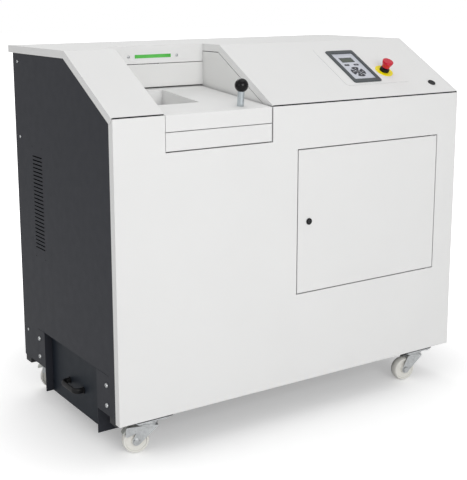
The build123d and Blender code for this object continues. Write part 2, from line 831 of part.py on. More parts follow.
moving_knuckle = knuckle - 2 * seat_gap
with BuildPart() as hood_hinge_leaves:
    for x in (-hinge_offset, hinge_offset):
        with Locations((x, hinge_y, hinge_z)):
            Cylinder(hinge_knuckle_r, moving_knuckle, rotation=(0, 90, 0))
        block(
            x - moving_knuckle / 2, x + moving_knuckle / 2, hinge_y, skirt_y,
            hinge_z, hinge_z + hinge_knuckle_r,
        )
        block(
            x - hinge_width / 2, x + hinge_width / 2, skirt_y - hinge_leaf, skirt_y,
            hinge_z, hood_top_z - sheet,
        )
        with Locations((x, hinge_y, hinge_z)):
            Cylinder(hinge_pin_r + fit, hinge_width, rotation=(0, 90, 0), mode=Mode.SUBTRACT)
save(hood_hinge_leaves.part, "hood_hinge_leaves")

# Status window: a clear green bar that fills the slot, on a backing strip held by two screws
window_face = Plane(origin=(recess_x, recess_back_y, window_z), x_dir=(1, 0, 0), z_dir=(0, -1, 0))
backing_width = 2 * window_screw_offset + 4 * screw_head_r
with BuildPart() as status_window:
    with BuildSketch(window_face):
        Rectangle(window_width, window_height)
    extrude(amount=-sheet)
    with BuildSketch(window_face.offset(-sheet)):
        Rectangle(backing_width, 2 * window_height)
        with GridLocations(2 * window_screw_offset, 0, 2, 1):
            Circle(screw_shank_r + fit, mode=Mode.SUBTRACT)
    extrude(amount=-sheet)
save(status_window.part, "status_window")

# Control plate on the slope, with openings for the keypad and the emergency stop
with BuildPart() as control_plate:
    with BuildSketch(slope):
        with Locations((control_x, control_v)):
            RectangleRounded(plate_width, plate_length, plate_corner)
        with Locations((bezel_x, bezel_v)):
            Rectangle(keypad_width, keypad_length, mode=Mode.SUBTRACT)
        with Locations((estop_x, estop_v)):
            Circle(estop_hole_r, mode=Mode.SUBTRACT)
    extrude(amount=plate_thick)
save(control_plate.part, "control_plate")

plate_face = slope.offset(plate_thick)
with BuildPart() as display_bezel:
    with BuildSketch(plate_face):
        with Locations((bezel_x, bezel_v)):
            RectangleRounded(bezel_width, bezel_length, bezel_corner)
            RectangleRounded(membrane_width, membrane_length, bezel_corner / 2, mode=Mode.SUBTRACT)
    extrude(amount=bezel_thick)
    chamfer(display_bezel.faces().sort_by(SortBy.AREA)[-1].outer_wire().edges(), sheet / 2)
save(display_bezel.part, "display_bezel")


def key_outline(kind, grow=0.0):
    """Outline of one key, placed on the slope; grow widens it all round."""
    if kind == "ok":
        with Locations((bezel_x, nav_v)):
            Circle(ok_key_r + grow)
    elif kind.startswith("soft"):
        side = -1 if kind == "soft_left" else 1
        with Locations((bezel_x + side * soft_key_offset, bezel_v + soft_key_rise)):
            SlotOverall(soft_key_width + 2 * grow, soft_key_length + 2 * grow)
    else:
        turn = {"right": 0, "up": 90, "left": 180, "down": 270}[kind]
        inner = nav_inner_r - grow
        outer = nav_outer_r + grow
        half = nav_half_angle + degrees(grow / nav_inner_r)
        with Locations(Location((bezel_x, nav_v, 0), (0, 0, turn))):
            with BuildSketch(mode=Mode.PRIVATE) as wedge:
                with BuildLine():
                    CenterArc((0, 0), inner, -half, 2 * half)
                    CenterArc((0, 0), outer, -half, 2 * half)
                    for end in (-half, half):
                        direction = (cos(radians(end)), sin(radians(end)))
                        Line(
                            (inner * direction[0], inner * direction[1]),
                            (outer * direction[0], outer * direction[1]),
                        )
                make_face()
            add(wedge.sketch)


key_kinds = ("soft_left", "soft_right", "up", "down", "left", "right", "ok")

# Keypad panel: the sheet behind the bezel, with openings for the display and the keys
with BuildPart() as keypad_panel:
    with BuildSketch(plate_face):
        with Locations((bezel_x, bezel_v)):
            Rectangle(keypad_width - 2 * seat_gap, keypad_length - 2 * seat_gap)
    extrude(amount=-sheet)
    with BuildSketch(plate_face):
        with Locations((bezel_x, bezel_v + display_rise)):
            Rectangle(display_width, display_length)
        for kind in key_kinds:
            key_outline(kind, key_clearance)
    extrude(amount=-sheet, mode=Mode.SUBTRACT)
save(keypad_panel.part, "keypad_panel")

with BuildPart() as display_window:
    with BuildSketch(plate_face.offset(-seat_gap)):
        with Locations((bezel_x, bezel_v + display_rise)):
            Rectangle(display_width, display_length)
    extrude(amount=-sheet + seat_gap)
save(display_window.part, "display_window")

for kind in key_kinds:
    with BuildPart() as key:
        with BuildSketch(plate_face.offset(key_rise)):
            key_outline(kind)
        extrude(amount=-key_rise - sheet - seat_gap)
        with BuildSketch(plate_face.offset(-sheet - seat_gap)):
            key_outline(kind, key_flange)
        extrude(amount=-sheet / 2)
    save(key.part, f"key_{kind}")

# Emergency stop: label disc, body with its barrel through the slope, sliding stem and turning head
label_face = plate_face.offset(estop_label_thick)
estop_at = Location((estop_x, estop_v, 0))


def estop_ring(height, radius, length, mode=Mode.ADD):
    """Cylinder on the emergency stop's axis, from a height above the label's face downwards."""
    with BuildSketch(label_face.offset(height)) as outline:
        with Locations(estop_at):
            Circle(radius)
    extrude(outline.sketch, amount=-length, mode=mode)


with BuildPart() as estop_label:
    estop_ring(0, estop_label_r, estop_label_thick)
    estop_ring(0, estop_hole_r, estop_label_thick, Mode.SUBTRACT)
save(estop_label.part, "estop_label")

with BuildPart() as estop_body:
    estop_ring(estop_collar_height, estop_collar_r, estop_collar_height)
    estop_ring(0, estop_barrel_r, estop_barrel_length)
    estop_ring(
        estop_collar_height, estop_stem_r + fit,
        estop_collar_height + estop_barrel_length, Mode.SUBTRACT,
    )
    fillet(estop_body.edges().filter_by(GeomType.CIRCLE).group_by(SortBy.RADIUS)[-1], sheet / 2)
save(estop_body.part, "estop_body")

head_base = estop_collar_height + estop_travel + 2 * seat_gap
stem_flange = sheet
with BuildPart() as estop_stem:
    estop_ring(head_base, estop_stem_r, head_base + estop_barrel_length + seat_gap + stem_flange)
    estop_ring(head_base + estop_head_height / 2, estop_spigot_r, estop_head_height / 2)
    estop_ring(-estop_barrel_length - seat_gap, estop_stem_r + sheet, stem_flange)
save(estop_stem.part, "estop_stem")

head_axis = Axis((label_face.location * estop_at).position, label_face.z_dir)
head_plane = Plane((label_face.location * estop_at).position, x_dir=(1, 0, 0), z_dir=-label_face.y_dir)
head_top = head_base + estop_head_height
with BuildPart() as estop_head:
    with BuildSketch(head_plane):
        with BuildLine():
            Polyline((0, head_top), (0, head_base), (estop_head_waist_r, head_base))
            Spline(
                (estop_head_waist_r, head_base),
                (estop_head_r, head_top - estop_head_edge),
                tangents=((0, 1), (0, 1)),
            )
            RadiusArc(
                (estop_head_r, head_top - estop_head_edge),
                (estop_head_r - estop_head_edge, head_top),
                -estop_head_edge,
            )
            Line((estop_head_r - estop_head_edge, head_top), (0, head_top))
        make_face()
    revolve(axis=head_axis)
    estop_ring(
        head_base + estop_head_height / 2 + fit, estop_spigot_r + fit,
        estop_head_height / 2 + fit, Mode.SUBTRACT,
    )
save(estop_head.part, "estop_head")

# Hood lock: its cam rests across the slope, and turns down behind the front panel's upper edge
hood_lock_at = (slope.location * Location((lock_x, lock_v, 0))).position
hood_face = Plane(hood_lock_at, x_dir=(1, 0, 0), z_dir=slope.z_dir)
hood_lock = lock_ring(hood_face, hood_lock_r, hood_skirt)
save(hood_lock.part, "hood_lock")
hood_lock_core = lock_core(hood_face, hood_skirt, 180)
save(hood_lock_core.part, "hood_lock_core")

# Feed surround: left and right wall below the hood's skirts, and the rear wall below its flange
surround_top = hood_skirt + sheet
surround_front_y = panel_back_y + sheet
with BuildPart() as feed_surround:
    for x0 in (recess_x0 - sheet, recess_x1):
        with BuildSketch(Plane.YZ.offset(x0)):
            bend = hood_line(surround_top)[1]
            Polygon(
                (surround_front_y, table_height(surround_front_y, table_depth + 2 * sheet)),
                (feed_end_y, table_height(feed_end_y, table_depth + 2 * sheet)),
                (feed_end_y, bend[1]),
                bend,
                (surround_front_y, hood_height(surround_front_y, surround_top)),
                align=None,
            )
        extrude(amount=sheet)
    block(
        recess_x0, recess_x1, recess_back_y, recess_back_y + sheet,
        table_height(recess_back_y) + feed_slot, recess_flange_z - sheet,
    )
save(feed_surround.part, "feed_surround")

# Feed tray: tilted floor with the chute's mouth, and the lower front strip
mouth_width = pocket_width + 4 * sheet
mouth_length = pocket_length + 4 * sheet
mouth_v = pocket_v + feed_travel
strip_top_z = table_height(front_y, table_depth)
with BuildPart() as feed_tray:
    with BuildSketch(Plane.YZ.offset(recess_x0)):
        Polygon(
            (surround_front_y, table_height(surround_front_y, table_depth)),
            (feed_end_y, table_height(feed_end_y, table_depth)),
            (feed_end_y, table_height(feed_end_y, table_depth + sheet)),
            (surround_front_y, table_height(surround_front_y, table_depth + sheet)),
            align=None,
        )
    extrude(amount=recess_width)
    with BuildSketch(Plane.YZ.offset(table_x0)):
        Polygon(
            (front_y, recess_sill_z + panel_gap),
            (front_y, strip_top_z),
            (surround_front_y, table_height(surround_front_y, table_depth)),
            (surround_front_y, table_height(surround_front_y, table_depth + sheet)),
            (front_y + sheet, table_height(front_y + sheet, table_depth + sheet)),
            (front_y + sheet, recess_sill_z + panel_gap),
            align=None,
        )
    extrude(amount=table_width)
    with BuildSketch(table):
        with Locations((pocket_x, mouth_v)):
            Rectangle(mouth_width, mouth_length)
    extrude(amount=-2 * table_depth, mode=Mode.SUBTRACT)

# Slide rails: flat strips on the tray floor, just inside the slide's side walls and below its apron
rail_length = (feed_end_y - surround_front_y - 2 * sheet) / tilt_cos
rail_v = (surround_front_y - front_y) / tilt_cos + sheet + rail_length / 2
rails = []
for x in (
    table_x0 + sheet + seat_gap + rail_width / 2,
    table_x0 + table_width - sheet - seat_gap - rail_width / 2,
):
    with BuildPart() as rail:
        with BuildSketch(table.offset(-table_depth)):
            with Locations((x, rail_v)):
                Rectangle(rail_width, rail_length)
        extrude(amount=sheet)
    rails.append(rail.part)
save(Compound(children=[feed_tray.part, *rails]), "feed_tray")

# Feed slide: table with an upright apron, side walls and an open-bottomed drive pocket
skirt_depth = table_depth - seat_gap
knob_x = recess_x1 - knob_inset
knob_v = knob_setback / tilt_cos
with BuildPart() as feed_slide:
    with BuildSketch(Plane.YZ.offset(table_x0)):
        Polygon(
            (front_y, table_height(front_y)),
            (table_end_y, table_height(table_end_y)),
            (table_end_y, table_height(table_end_y, skirt_depth)),
            (front_y, table_height(front_y, skirt_depth - sheet)),
            align=None,
        )
    extrude(amount=table_width)
    fillet(feed_slide.edges().filter_by(Axis.X).group_by(Axis.Y)[0].sort_by(Axis.Z)[-1], table_radius)
    with BuildSketch(Plane.YZ.offset(table_x0 + sheet)):
        Polygon(
            (front_y + sheet, table_height(front_y + sheet, sheet)),
            (2 * table_end_y, table_height(2 * table_end_y, sheet)),
            (2 * table_end_y, table_height(2 * table_end_y, 2 * table_depth)),
            (front_y + sheet, table_height(front_y + sheet, 2 * table_depth)),
            align=None,
        )
    extrude(amount=table_width - 2 * sheet, mode=Mode.SUBTRACT)
    with BuildSketch(table.offset(-sheet)):
        with Locations((pocket_x, pocket_v)):
            Rectangle(pocket_width + 2 * sheet, pocket_length + 2 * sheet)
    extrude(amount=-skirt_depth + sheet)
    with BuildSketch(table):
        with Locations((pocket_x, pocket_v)):
            Rectangle(pocket_width, pocket_length)
        with Locations((knob_x, knob_v)):
            Circle(knob_stud_r + fit)
    extrude(amount=-skirt_depth - sheet, mode=Mode.SUBTRACT)
save(feed_slide.part, "feed_slide")

# Knob: chrome stem screwed through the table with a nut below, and a ball on top
ball_flat = sqrt(knob_ball_r ** 2 - knob_stem_r ** 2)
with BuildPart() as slide_knob_stem:
    with BuildSketch(table):
        with Locations((knob_x, knob_v)):
            Circle(knob_stem_r)
    extrude(amount=knob_height - ball_flat)
    with BuildSketch(table.offset(knob_height)):
        with Locations((knob_x, knob_v)):
            Circle(knob_stud_r)
    extrude(amount=-knob_height - sheet - nut_height)
    with BuildSketch(table.offset(-sheet)):
        with Locations((knob_x, knob_v)):
            RegularPolygon(2 * knob_stud_r, 6)
    extrude(amount=-nut_height)
save(slide_knob_stem.part, "slide_knob_stem")

with BuildPart() as slide_knob_ball:
    with Locations(table.location * Location((knob_x, knob_v, knob_height))):
        Sphere(knob_ball_r)
    with BuildSketch(table.offset(knob_height - ball_flat)):
        with Locations((knob_x, knob_v)):
            Circle(knob_ball_r)
    extrude(amount=-knob_ball_r, mode=Mode.SUBTRACT)
    with BuildSketch(table.offset(knob_height)):
        with Locations((knob_x, knob_v)):
            Circle(knob_stud_r + fit)
    extrude(amount=-knob_height, mode=Mode.SUBTRACT)
save(slide_knob_ball.part, "slide_knob_ball")

# Feed chute from the tray's mouth down to the cutters
chute_x0 = cutter_x0 - sheet
chute_x1 = cutter_x1 + sheet
mouth_y = [front_y + (mouth_v + side * mouth_length / 2) * tilt_cos for side in (-1, 1)]


def inset(edge):
    """The ends of a (y, z) edge, moved in along it by one sheet's thickness in Y."""
    (y0, z0), (y1, z1) = edge
    rise = (z1 - z0) / (y1 - y0) * sheet
    return (y0 + sheet, z0 + rise), (y1 - sheet, z1 - rise)


def chute(top, bottom, x0, x1):
    """Four-walled chute between a sloped or level top and bottom edge, each a pair of (y, z) ends."""
    inner_top = inset(top)
    inner_bottom = inset(bottom)
    with BuildPart() as walls:
        with BuildSketch(Plane.YZ.offset(x0)):
            Polygon(bottom[0], bottom[1], top[1], top[0], align=None)
        extrude(amount=x1 - x0)
        with BuildSketch(Plane.YZ.offset(x0 + sheet)):
            Polygon(inner_bottom[0], inner_bottom[1], inner_top[1], inner_top[0], align=None)
        extrude(amount=x1 - x0 - 2 * sheet, mode=Mode.SUBTRACT)
    return walls.part


chute_top = [(y, table_height(y, table_depth + sheet)) for y in (mouth_y[0] - sheet, mouth_y[1] + sheet)]
chute_bottom = [(cutter_y - throat_half, cutter_top_z), (cutter_y + throat_half, cutter_top_z)]
feed_chute = chute(chute_top, chute_bottom, chute_x0, chute_x1)

# Discharge chute from the cutters down and forward to the bin
outlet_y = cutter_y + discharge_shift
outlet = [(outlet_y - discharge_half, discharge_top), (outlet_y + discharge_half, discharge_top)]
inlet = [(cutter_y - throat_half, bearer_top_z), (cutter_y + throat_half, bearer_top_z)]
discharge_chute = chute(inlet, outlet, chute_x0, chute_x1)
save(Compound(children=[feed_chute, discharge_chute]), "chutes")

# Cutter housing: end plates on the bearers, with shaft bearings outside and stripper combs between them
with BuildPart() as cutter_end_plates:
    for x0 in (cutter_x0 - end_plate_thick, cutter_x1):
        block(
            x0, x0 + end_plate_thick, cutter_y - end_plate_half, cutter_y + end_plate_half,
            bearer_top_z, cutter_top_z,
        )
    with Locations(*[(pocket_x, y, cutter_z) for y in shaft_y]):
        Cylinder(shaft_r + sheet, 2 * cutter_width, rotation=(0, 90, 0), mode=Mode.SUBTRACT)

with BuildPart() as shaft_bearings:
    for x in (bearing_x0 + bearing_thick / 2, bearing_x1 - bearing_thick / 2):
        with Locations(*[(x, y, cutter_z) for y in shaft_y]):
            Box(bearing_thick, bearing_size, bearing_size)
            Cylinder(shaft_r + bearing_clearance, 2 * bearing_thick, rotation=(0, 90, 0), mode=Mode.SUBTRACT)
    fillet(shaft_bearings.edges().filter_by(Axis.X), 2 * sheet)

with BuildPart() as stripper_combs:
    for y, side, first_slot in ((shaft_y[0], -1, 1), (shaft_y[1], 1, 0)):
        near_y = y + side * (hub_r + sheet)
        bar_y = y + side * (disc_r + sheet)
        far_y = bar_y + side * comb_bar
        block(
            cutter_x0, cutter_x1, min(bar_y, far_y), max(bar_y, far_y),
            cutter_z - comb_height / 2, cutter_z + comb_height / 2,
        )
        for index in range(cutter_slots // 2):
            slot_x = cutter_x0 + (2 * index + first_slot) * cutter_slot
            block(
                slot_x + cutter_clearance, slot_x + cutter_slot - cutter_clearance,
                min(near_y, far_y), max(near_y, far_y),
                cutter_z - comb_finger_height / 2, cutter_z + comb_finger_height / 2,
            )
housing_solids = [*cutter_end_plates.solids(), *shaft_bearings.solids(), *stripper_combs.solids()]
save(Compound(children=housing_solids), "cutter_housing")



def disc_outline():
    """Cutter disc outline: a circle with hooked notches, about the local origin."""
    Circle(disc_r)
    with PolarLocations(0, hook_count):
        with BuildSketch(mode=Mode.PRIVATE) as notch:
            Polygon(
                (2 * disc_r, 0),
                (hook_root, -hook_undercut),
                (2 * disc_r * cos(radians(hook_angle)), 2 * disc_r * sin(radians(hook_angle))),
                align=None,
            )
        add(notch.sketch, mode=Mode.SUBTRACT)


def disc_set(y, first_slot):
    """Cutter discs of one shaft, in every second slot, each turned a step further than the last."""
    discs = []
    step = 360 / hook_count / (cutter_slots // 2)
    for index in range(cutter_slots // 2):
        hub_x = cutter_x0 + 2 * index * cutter_slot
        disc_x = hub_x + first_slot * cutter_slot + cutter_clearance / 2
        with BuildPart() as disc:
            with BuildSketch(Plane((disc_x, y, cutter_z), x_dir=(0, 1, 0), z_dir=(1, 0, 0))):
                with Locations(Location((0, 0, 0), (0, 0, index * step))):
                    with BuildSketch(mode=Mode.PRIVATE) as outline:
                        disc_outline()
                    add(outline.sketch)
            extrude(amount=cutter_slot - cutter_clearance)
            with BuildSketch(Plane.YZ.offset(hub_x)):
                with Locations((y, cutter_z)):
                    Circle(hub_r)
            extrude(amount=2 * cutter_slot)
            with BuildSketch(Plane.YZ.offset(hub_x)):
                with Locations((y, cutter_z)):
                    RegularPolygon(hex_apothem + hex_clearance, 6, major_radius=False)
            extrude(amount=2 * cutter_slot, mode=Mode.SUBTRACT)
        discs.append(disc.part)
    return discs


# Cutter rotors: shafts, hexagonal between the end plates and round in the bearings, with their discs;
# the front shaft runs on into the gearbox
hex_plane = Plane.YZ.offset(cutter_x0)
for name, y, end_x, first_slot in (
    ("front", shaft_y[0], gearbox_x1 - sheet, 0),
    ("rear", shaft_y[1], gear_x1 + sheet, 1),
):
    with BuildPart() as cutter_shaft:
        with BuildSketch(hex_plane):
            with Locations((y, cutter_z)):
                RegularPolygon(hex_apothem, 6, major_radius=False)
        extrude(amount=cutter_width)
        with BuildSketch(Plane.YZ.offset(bearing_x0 - sheet)):
            with Locations((y, cutter_z)):
                Circle(shaft_r)
        extrude(amount=end_x - bearing_x0 + sheet)
    save(Compound(children=[cutter_shaft.part, *disc_set(y, first_slot)]), f"cutter_rotor_{name}")

# Synchronising gears: equal spur gears; with an odd number of teeth, equal turns put them in mesh
gear_module = shaft_spacing / gear_teeth
pitch_r = shaft_spacing / 2
gear_tip_r = pitch_r + 0.9 * gear_module
gear_root_r = pitch_r - 1.25 * gear_module


def tooth_outline():
    """One gear tooth that points along the local X axis."""
    flank = (
        (gear_root_r - sheet, tooth_root_half),
        (pitch_r, tooth_pitch_half),
        (gear_tip_r, tooth_tip_half),
    )
    right = [(r * cos(radians(half)), -r * sin(radians(half))) for r, half in flank]
    left = [(x, -y) for x, y in reversed(right)]
    Polygon(*right, *left, align=None)


for name, y in (("front", shaft_y[0]), ("rear", shaft_y[1])):
    with BuildPart() as gear:
        with BuildSketch(Plane((gear_x0, y, cutter_z), x_dir=(0, 1, 0), z_dir=(1, 0, 0))):
            Circle(gear_root_r)
            with PolarLocations(0, gear_teeth):
                with BuildSketch(mode=Mode.PRIVATE) as tooth:
                    tooth_outline()
                add(tooth.sketch)
            Circle(shaft_r + fit, mode=Mode.SUBTRACT)
        extrude(amount=gear_width)
    save(gear.part, f"sync_gear_{name}")

# Gearbox on the motor bearers, around the end of the front shaft
with BuildPart() as gearbox:
    block(
        gearbox_x0, gearbox_x1, motor_y - gearbox_half, motor_y + gearbox_half,
        bearer_top_z, bearer_top_z + gearbox_height,
    )
    fillet(gearbox.edges().filter_by(Axis.X), 4 * sheet)
    with BuildSketch(Plane.YZ.offset(gearbox_x0)):
        with Locations((motor_y, cutter_z)):
            Circle(shaft_r + bearing_clearance)
    extrude(amount=gearbox_length, mode=Mode.SUBTRACT)
save(gearbox.part, "gearbox")

# Drive motor: finned barrel, end bell with a fan cowl, and a terminal box on top
motor_z = bearer_top_z + motor_rise
motor_x1 = gearbox_x1 + motor_length
with BuildPart() as drive_motor:
    with BuildSketch(Plane.YZ.offset(gearbox_x1)):
        with Locations((motor_y, motor_z)):
            Circle(motor_r - fin_height)
    extrude(amount=motor_length)
    with BuildSketch(Plane.YZ.offset(gearbox_x1)):
        with Locations((motor_y, motor_z)):
            Circle(motor_r)
    extrude(amount=motor_flange)
    with BuildSketch(Plane((gearbox_x1, motor_y, motor_z), x_dir=(0, 1, 0), z_dir=(1, 0, 0))):
        with PolarLocations(motor_r - fin_height, fin_count):
            Rectangle(2 * fin_height, sheet)
    extrude(amount=fin_length)
    with BuildSketch(Plane.YZ.offset(motor_x1)):
        with Locations((motor_y, motor_z)):
            Circle(motor_r)
    extrude(amount=-motor_cowl)
    block(
        gearbox_x1 + terminal_setback, gearbox_x1 + terminal_setback + terminal_length,
        motor_y - terminal_width / 2, motor_y + terminal_width / 2,
        motor_z + motor_r / 2, motor_z + motor_r + terminal_height,
    )
save(drive_motor.part, "drive_motor")

# Control box on the rear panel
control_box_x1 = right_x - control_box_inset
with BuildPart() as control_box:
    block(
        control_box_x1 - control_box_width, control_box_x1,
        rear_panel_y - sheet - control_box_depth, rear_panel_y - sheet,
        control_box_base, control_box_base + control_box_height,
    )
    fillet(control_box.edges().filter_by(Axis.Z).group_by(Axis.Y)[0], 2 * sheet)
save(control_box.part, "control_box")

# Casters: bolted plate with its king pin, fork with axle, wheel and, on the left, a brake pedal
wheel_half = wheel_hub_width / 2
fork_inner = wheel_half + fork_gap
fork_outer = fork_inner + fork_thick
crown_z = caster_height - caster_plate_thick - fork_crown_drop


def caster_frame(x, y, yaw):
    """Local frame of a caster on the floor: its local X axis points away from the trailing wheel."""
    return Location((x, y, 0), (0, 0, yaw))


def caster_plate():
    """Top plate with its king pin, which holds the fork from below."""
    with BuildPart() as plate:
        block(
            -caster_plate_length / 2, caster_plate_length / 2,
            -caster_plate_width / 2, caster_plate_width / 2,
            caster_height - caster_plate_thick, caster_height,
        )
        fillet(plate.edges().filter_by(Axis.Z), 4 * sheet)
        with GridLocations(caster_bolt_x, caster_bolt_y, 2, 2):
            with Locations((0, 0, caster_height)):
                Cylinder(caster_bolt_r + fit, 4 * caster_plate_thick, mode=Mode.SUBTRACT)
        pin_low = crown_z - fork_thick - seat_gap
        with BuildSketch(Plane.XY.offset(caster_height - caster_plate_thick)):
            Circle(kingpin_r)
        extrude(amount=pin_low - caster_height + caster_plate_thick)
        with BuildSketch(Plane.XY.offset(pin_low)):
            Circle(kingpin_r + 2 * sheet)
        extrude(amount=-2 * sheet)
    return plate.part


def caster_bolt():
    """Hexagon bolt up through the caster's plate, screwed into the base plate."""
    with BuildPart() as bolt:
        with BuildSketch(Plane.XY.offset(caster_height - caster_plate_thick)):
            RegularPolygon(1.7 * caster_bolt_r, 6)
        extrude(amount=-caster_bolt_r)
        with BuildSketch(Plane.XY.offset(caster_height - caster_plate_thick)):
            Circle(caster_bolt_r)
        extrude(amount=caster_plate_thick + base_thick)
    return bolt.part


def fork_leg(braked):
    """Side outline of a fork leg: crown, arm to the axle and, if braked, an ear for the pedal's pin."""
    with BuildSketch(mode=Mode.PRIVATE) as arm:
        with Locations((-caster_trail, wheel_r)):
            Circle(2 * wheel_bore_r)
        with Locations((0, crown_z - fork_thick / 2)):
            Rectangle(2 * race_r, fork_thick)
        make_hull()
    add(arm.sketch)
    if braked:
        with BuildSketch(mode=Mode.PRIVATE) as ear:
            with Locations((-pedal_pin_x, pedal_pin_z)):
                Circle(2 * pedal_pin_r)
            with Locations((-ear_x, ear_z)):
                Circle(ear_r)
            with Locations((-race_r / 2, crown_z - fork_thick)):
                Rectangle(race_r, 2 * fork_thick)
            make_hull()
        add(ear.sketch)
        with Locations((-pedal_pin_x, pedal_pin_z)):
            Circle(pedal_pin_r, mode=Mode.SUBTRACT)
    with Locations((-caster_trail, wheel_r)):
        Circle(wheel_bore_r, mode=Mode.SUBTRACT)


def caster_fork(braked):
    """Fork with its swivel head, and the axle and pedal pin as solids of their own."""
    with BuildPart() as fork:
        for y0 in (-fork_outer, fork_inner):
            with BuildSketch(Plane.XZ.offset(-y0 - fork_thick)):
                fork_leg(braked)
            extrude(amount=fork_thick)
        block(-race_r, race_r, -fork_outer, fork_outer, crown_z - fork_thick, crown_z)
        with BuildSketch(Plane.XY.offset(crown_z)):
            Circle(race_r)
        extrude(amount=fork_crown_drop - seat_gap)
        with BuildSketch(Plane.XY.offset(crown_z - fork_thick)):
            Circle(kingpin_r + fit)
        extrude(amount=fork_thick + fork_crown_drop, mode=Mode.SUBTRACT)
    pieces = [fork.part]
    with BuildPart() as axle:
        with Locations((-caster_trail, 0, wheel_r)):
            Cylinder(wheel_bore_r, 2 * fork_outer, rotation=(90, 0, 0))
        for side in (-1, 1):
            with BuildSketch(Plane.XZ.offset(side * fork_outer)):
                with Locations((-caster_trail, wheel_r)):
                    RegularPolygon(1.6 * wheel_bore_r, 6)
            extrude(amount=side * axle_head)
    pieces.append(axle.part)
    if braked:
        with BuildPart() as pin:
            with Locations((-pedal_pin_x, 0, pedal_pin_z)):
                Cylinder(pedal_pin_r, 2 * fork_outer, rotation=(90, 0, 0))
        pieces.append(pin.part)
    return pieces


def caster_wheel():
    """Wheel with a rounded tread, dished sides and a longer hub."""
    rim = wheel_width / 2
    with BuildPart() as wheel:
        with BuildSketch(Plane.XZ):
            with BuildLine():
                Polyline(
                    (wheel_bore_r + fit, -wheel_half),
                    (2 * wheel_bore_r, -wheel_half),
                    (2 * wheel_bore_r + sheet, -rim + 2 * sheet),
                    (wheel_r - 5 * sheet, -rim + 2 * sheet),
                    (wheel_r - 4 * sheet, -rim),
                    (wheel_r - 2 * sheet, -rim),
                )
                ThreePointArc((wheel_r - 2 * sheet, -rim), (wheel_r, 0), (wheel_r - 2 * sheet, rim))
                Polyline(
                    (wheel_r - 2 * sheet, rim),
                    (wheel_r - 4 * sheet, rim),
                    (wheel_r - 5 * sheet, rim - 2 * sheet),
                    (2 * wheel_bore_r + sheet, rim - 2 * sheet),
                    (2 * wheel_bore_r, wheel_half),
                    (wheel_bore_r + fit, wheel_half),
                    (wheel_bore_r + fit, -wheel_half),
                )
            make_face()
        revolve(axis=Axis.Z)
    return Location((-caster_trail, 0, wheel_r), (90, 0, 0)) * wheel.part


def brake_pedal(angle):
    """Brake pedal on its pin, turned down from level by an angle."""
    half = fork_inner - fork_gap
    with BuildPart() as pedal:
        Cylinder(pedal_knuckle_r, 2 * half, rotation=(90, 0, 0))
        block(-pedal_length, 0, -pedal_width / 2, pedal_width / 2, -pedal_thick / 2, pedal_thick / 2)
        Cylinder(pedal_pin_r + fit, 4 * half, rotation=(90, 0, 0), mode=Mode.SUBTRACT)
        fillet(pedal.edges().filter_by(Axis.Z).group_by(Axis.X)[0], 2 * sheet)
    return Location((-pedal_pin_x, 0, pedal_pin_z), (0, -angle, 0)) * pedal.part


caster_places = {
    "front_left": (-caster_x, caster_y[0], -18.0),
    "front_right": (caster_x, caster_y[0], -9.0),
    "rear_left": (-caster_x, caster_y[1], -27.0),
    "rear_right": (caster_x, caster_y[1], -20.0),
}
pedal_angles = {"front_left": pedal_pressed, "rear_left": pedal_released}
plates = []
bolts = []
for name, (x, y, yaw) in caster_places.items():
    place = caster_frame(x, y, yaw)
    plates.append(Location((x, y, 0)) * caster_plate())
    for bolt_x in (-caster_bolt_x / 2, caster_bolt_x / 2):
        for bolt_y in (-caster_bolt_y / 2, caster_bolt_y / 2):
            bolts.append(Location((x + bolt_x, y + bolt_y, 0)) * caster_bolt())
    braked = name in pedal_angles
    save(Compound(children=[place * piece for piece in caster_fork(braked)]), f"caster_fork_{name}")
    save(place * caster_wheel(), f"caster_wheel_{name}")
    if braked:
        save(place * brake_pedal(pedal_angles[name]), f"brake_pedal_{name}")
save(Compound(children=[*plates, *bolts]), "caster_plates")
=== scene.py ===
import json
import math

import bmesh
import bpy
from mathutils import Matrix, Vector


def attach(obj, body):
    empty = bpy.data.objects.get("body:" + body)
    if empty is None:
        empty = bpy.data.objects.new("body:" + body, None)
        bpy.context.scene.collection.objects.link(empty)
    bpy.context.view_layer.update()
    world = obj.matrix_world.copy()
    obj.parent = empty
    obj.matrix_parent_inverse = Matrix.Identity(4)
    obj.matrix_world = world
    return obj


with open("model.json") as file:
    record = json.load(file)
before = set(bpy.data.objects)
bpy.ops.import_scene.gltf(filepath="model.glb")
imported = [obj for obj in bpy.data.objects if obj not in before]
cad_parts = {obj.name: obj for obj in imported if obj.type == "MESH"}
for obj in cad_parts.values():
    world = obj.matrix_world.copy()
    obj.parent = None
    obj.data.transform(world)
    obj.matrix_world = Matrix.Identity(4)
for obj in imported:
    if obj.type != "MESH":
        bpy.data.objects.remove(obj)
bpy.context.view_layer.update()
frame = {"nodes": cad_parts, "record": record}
nodes = frame["nodes"]
slot_of = {row["node"]: row["material_slot"] for row in frame["record"]["subparts"]}
joint_of = {row["name"]: row for row in frame["record"]["behaviour"]["joints"]}


def node_box(name):
    """Lowest and highest corner of a CAD node at rest, in metres."""
    obj = nodes[name]
    points = [obj.matrix_world @ vertex.co for vertex in obj.data.vertices]
    low = Vector([min(point[axis] for point in points) for axis in range(3)])
    high = Vector([max(point[axis] for point in points) for axis in range(3)])
    return low, high


# Materials


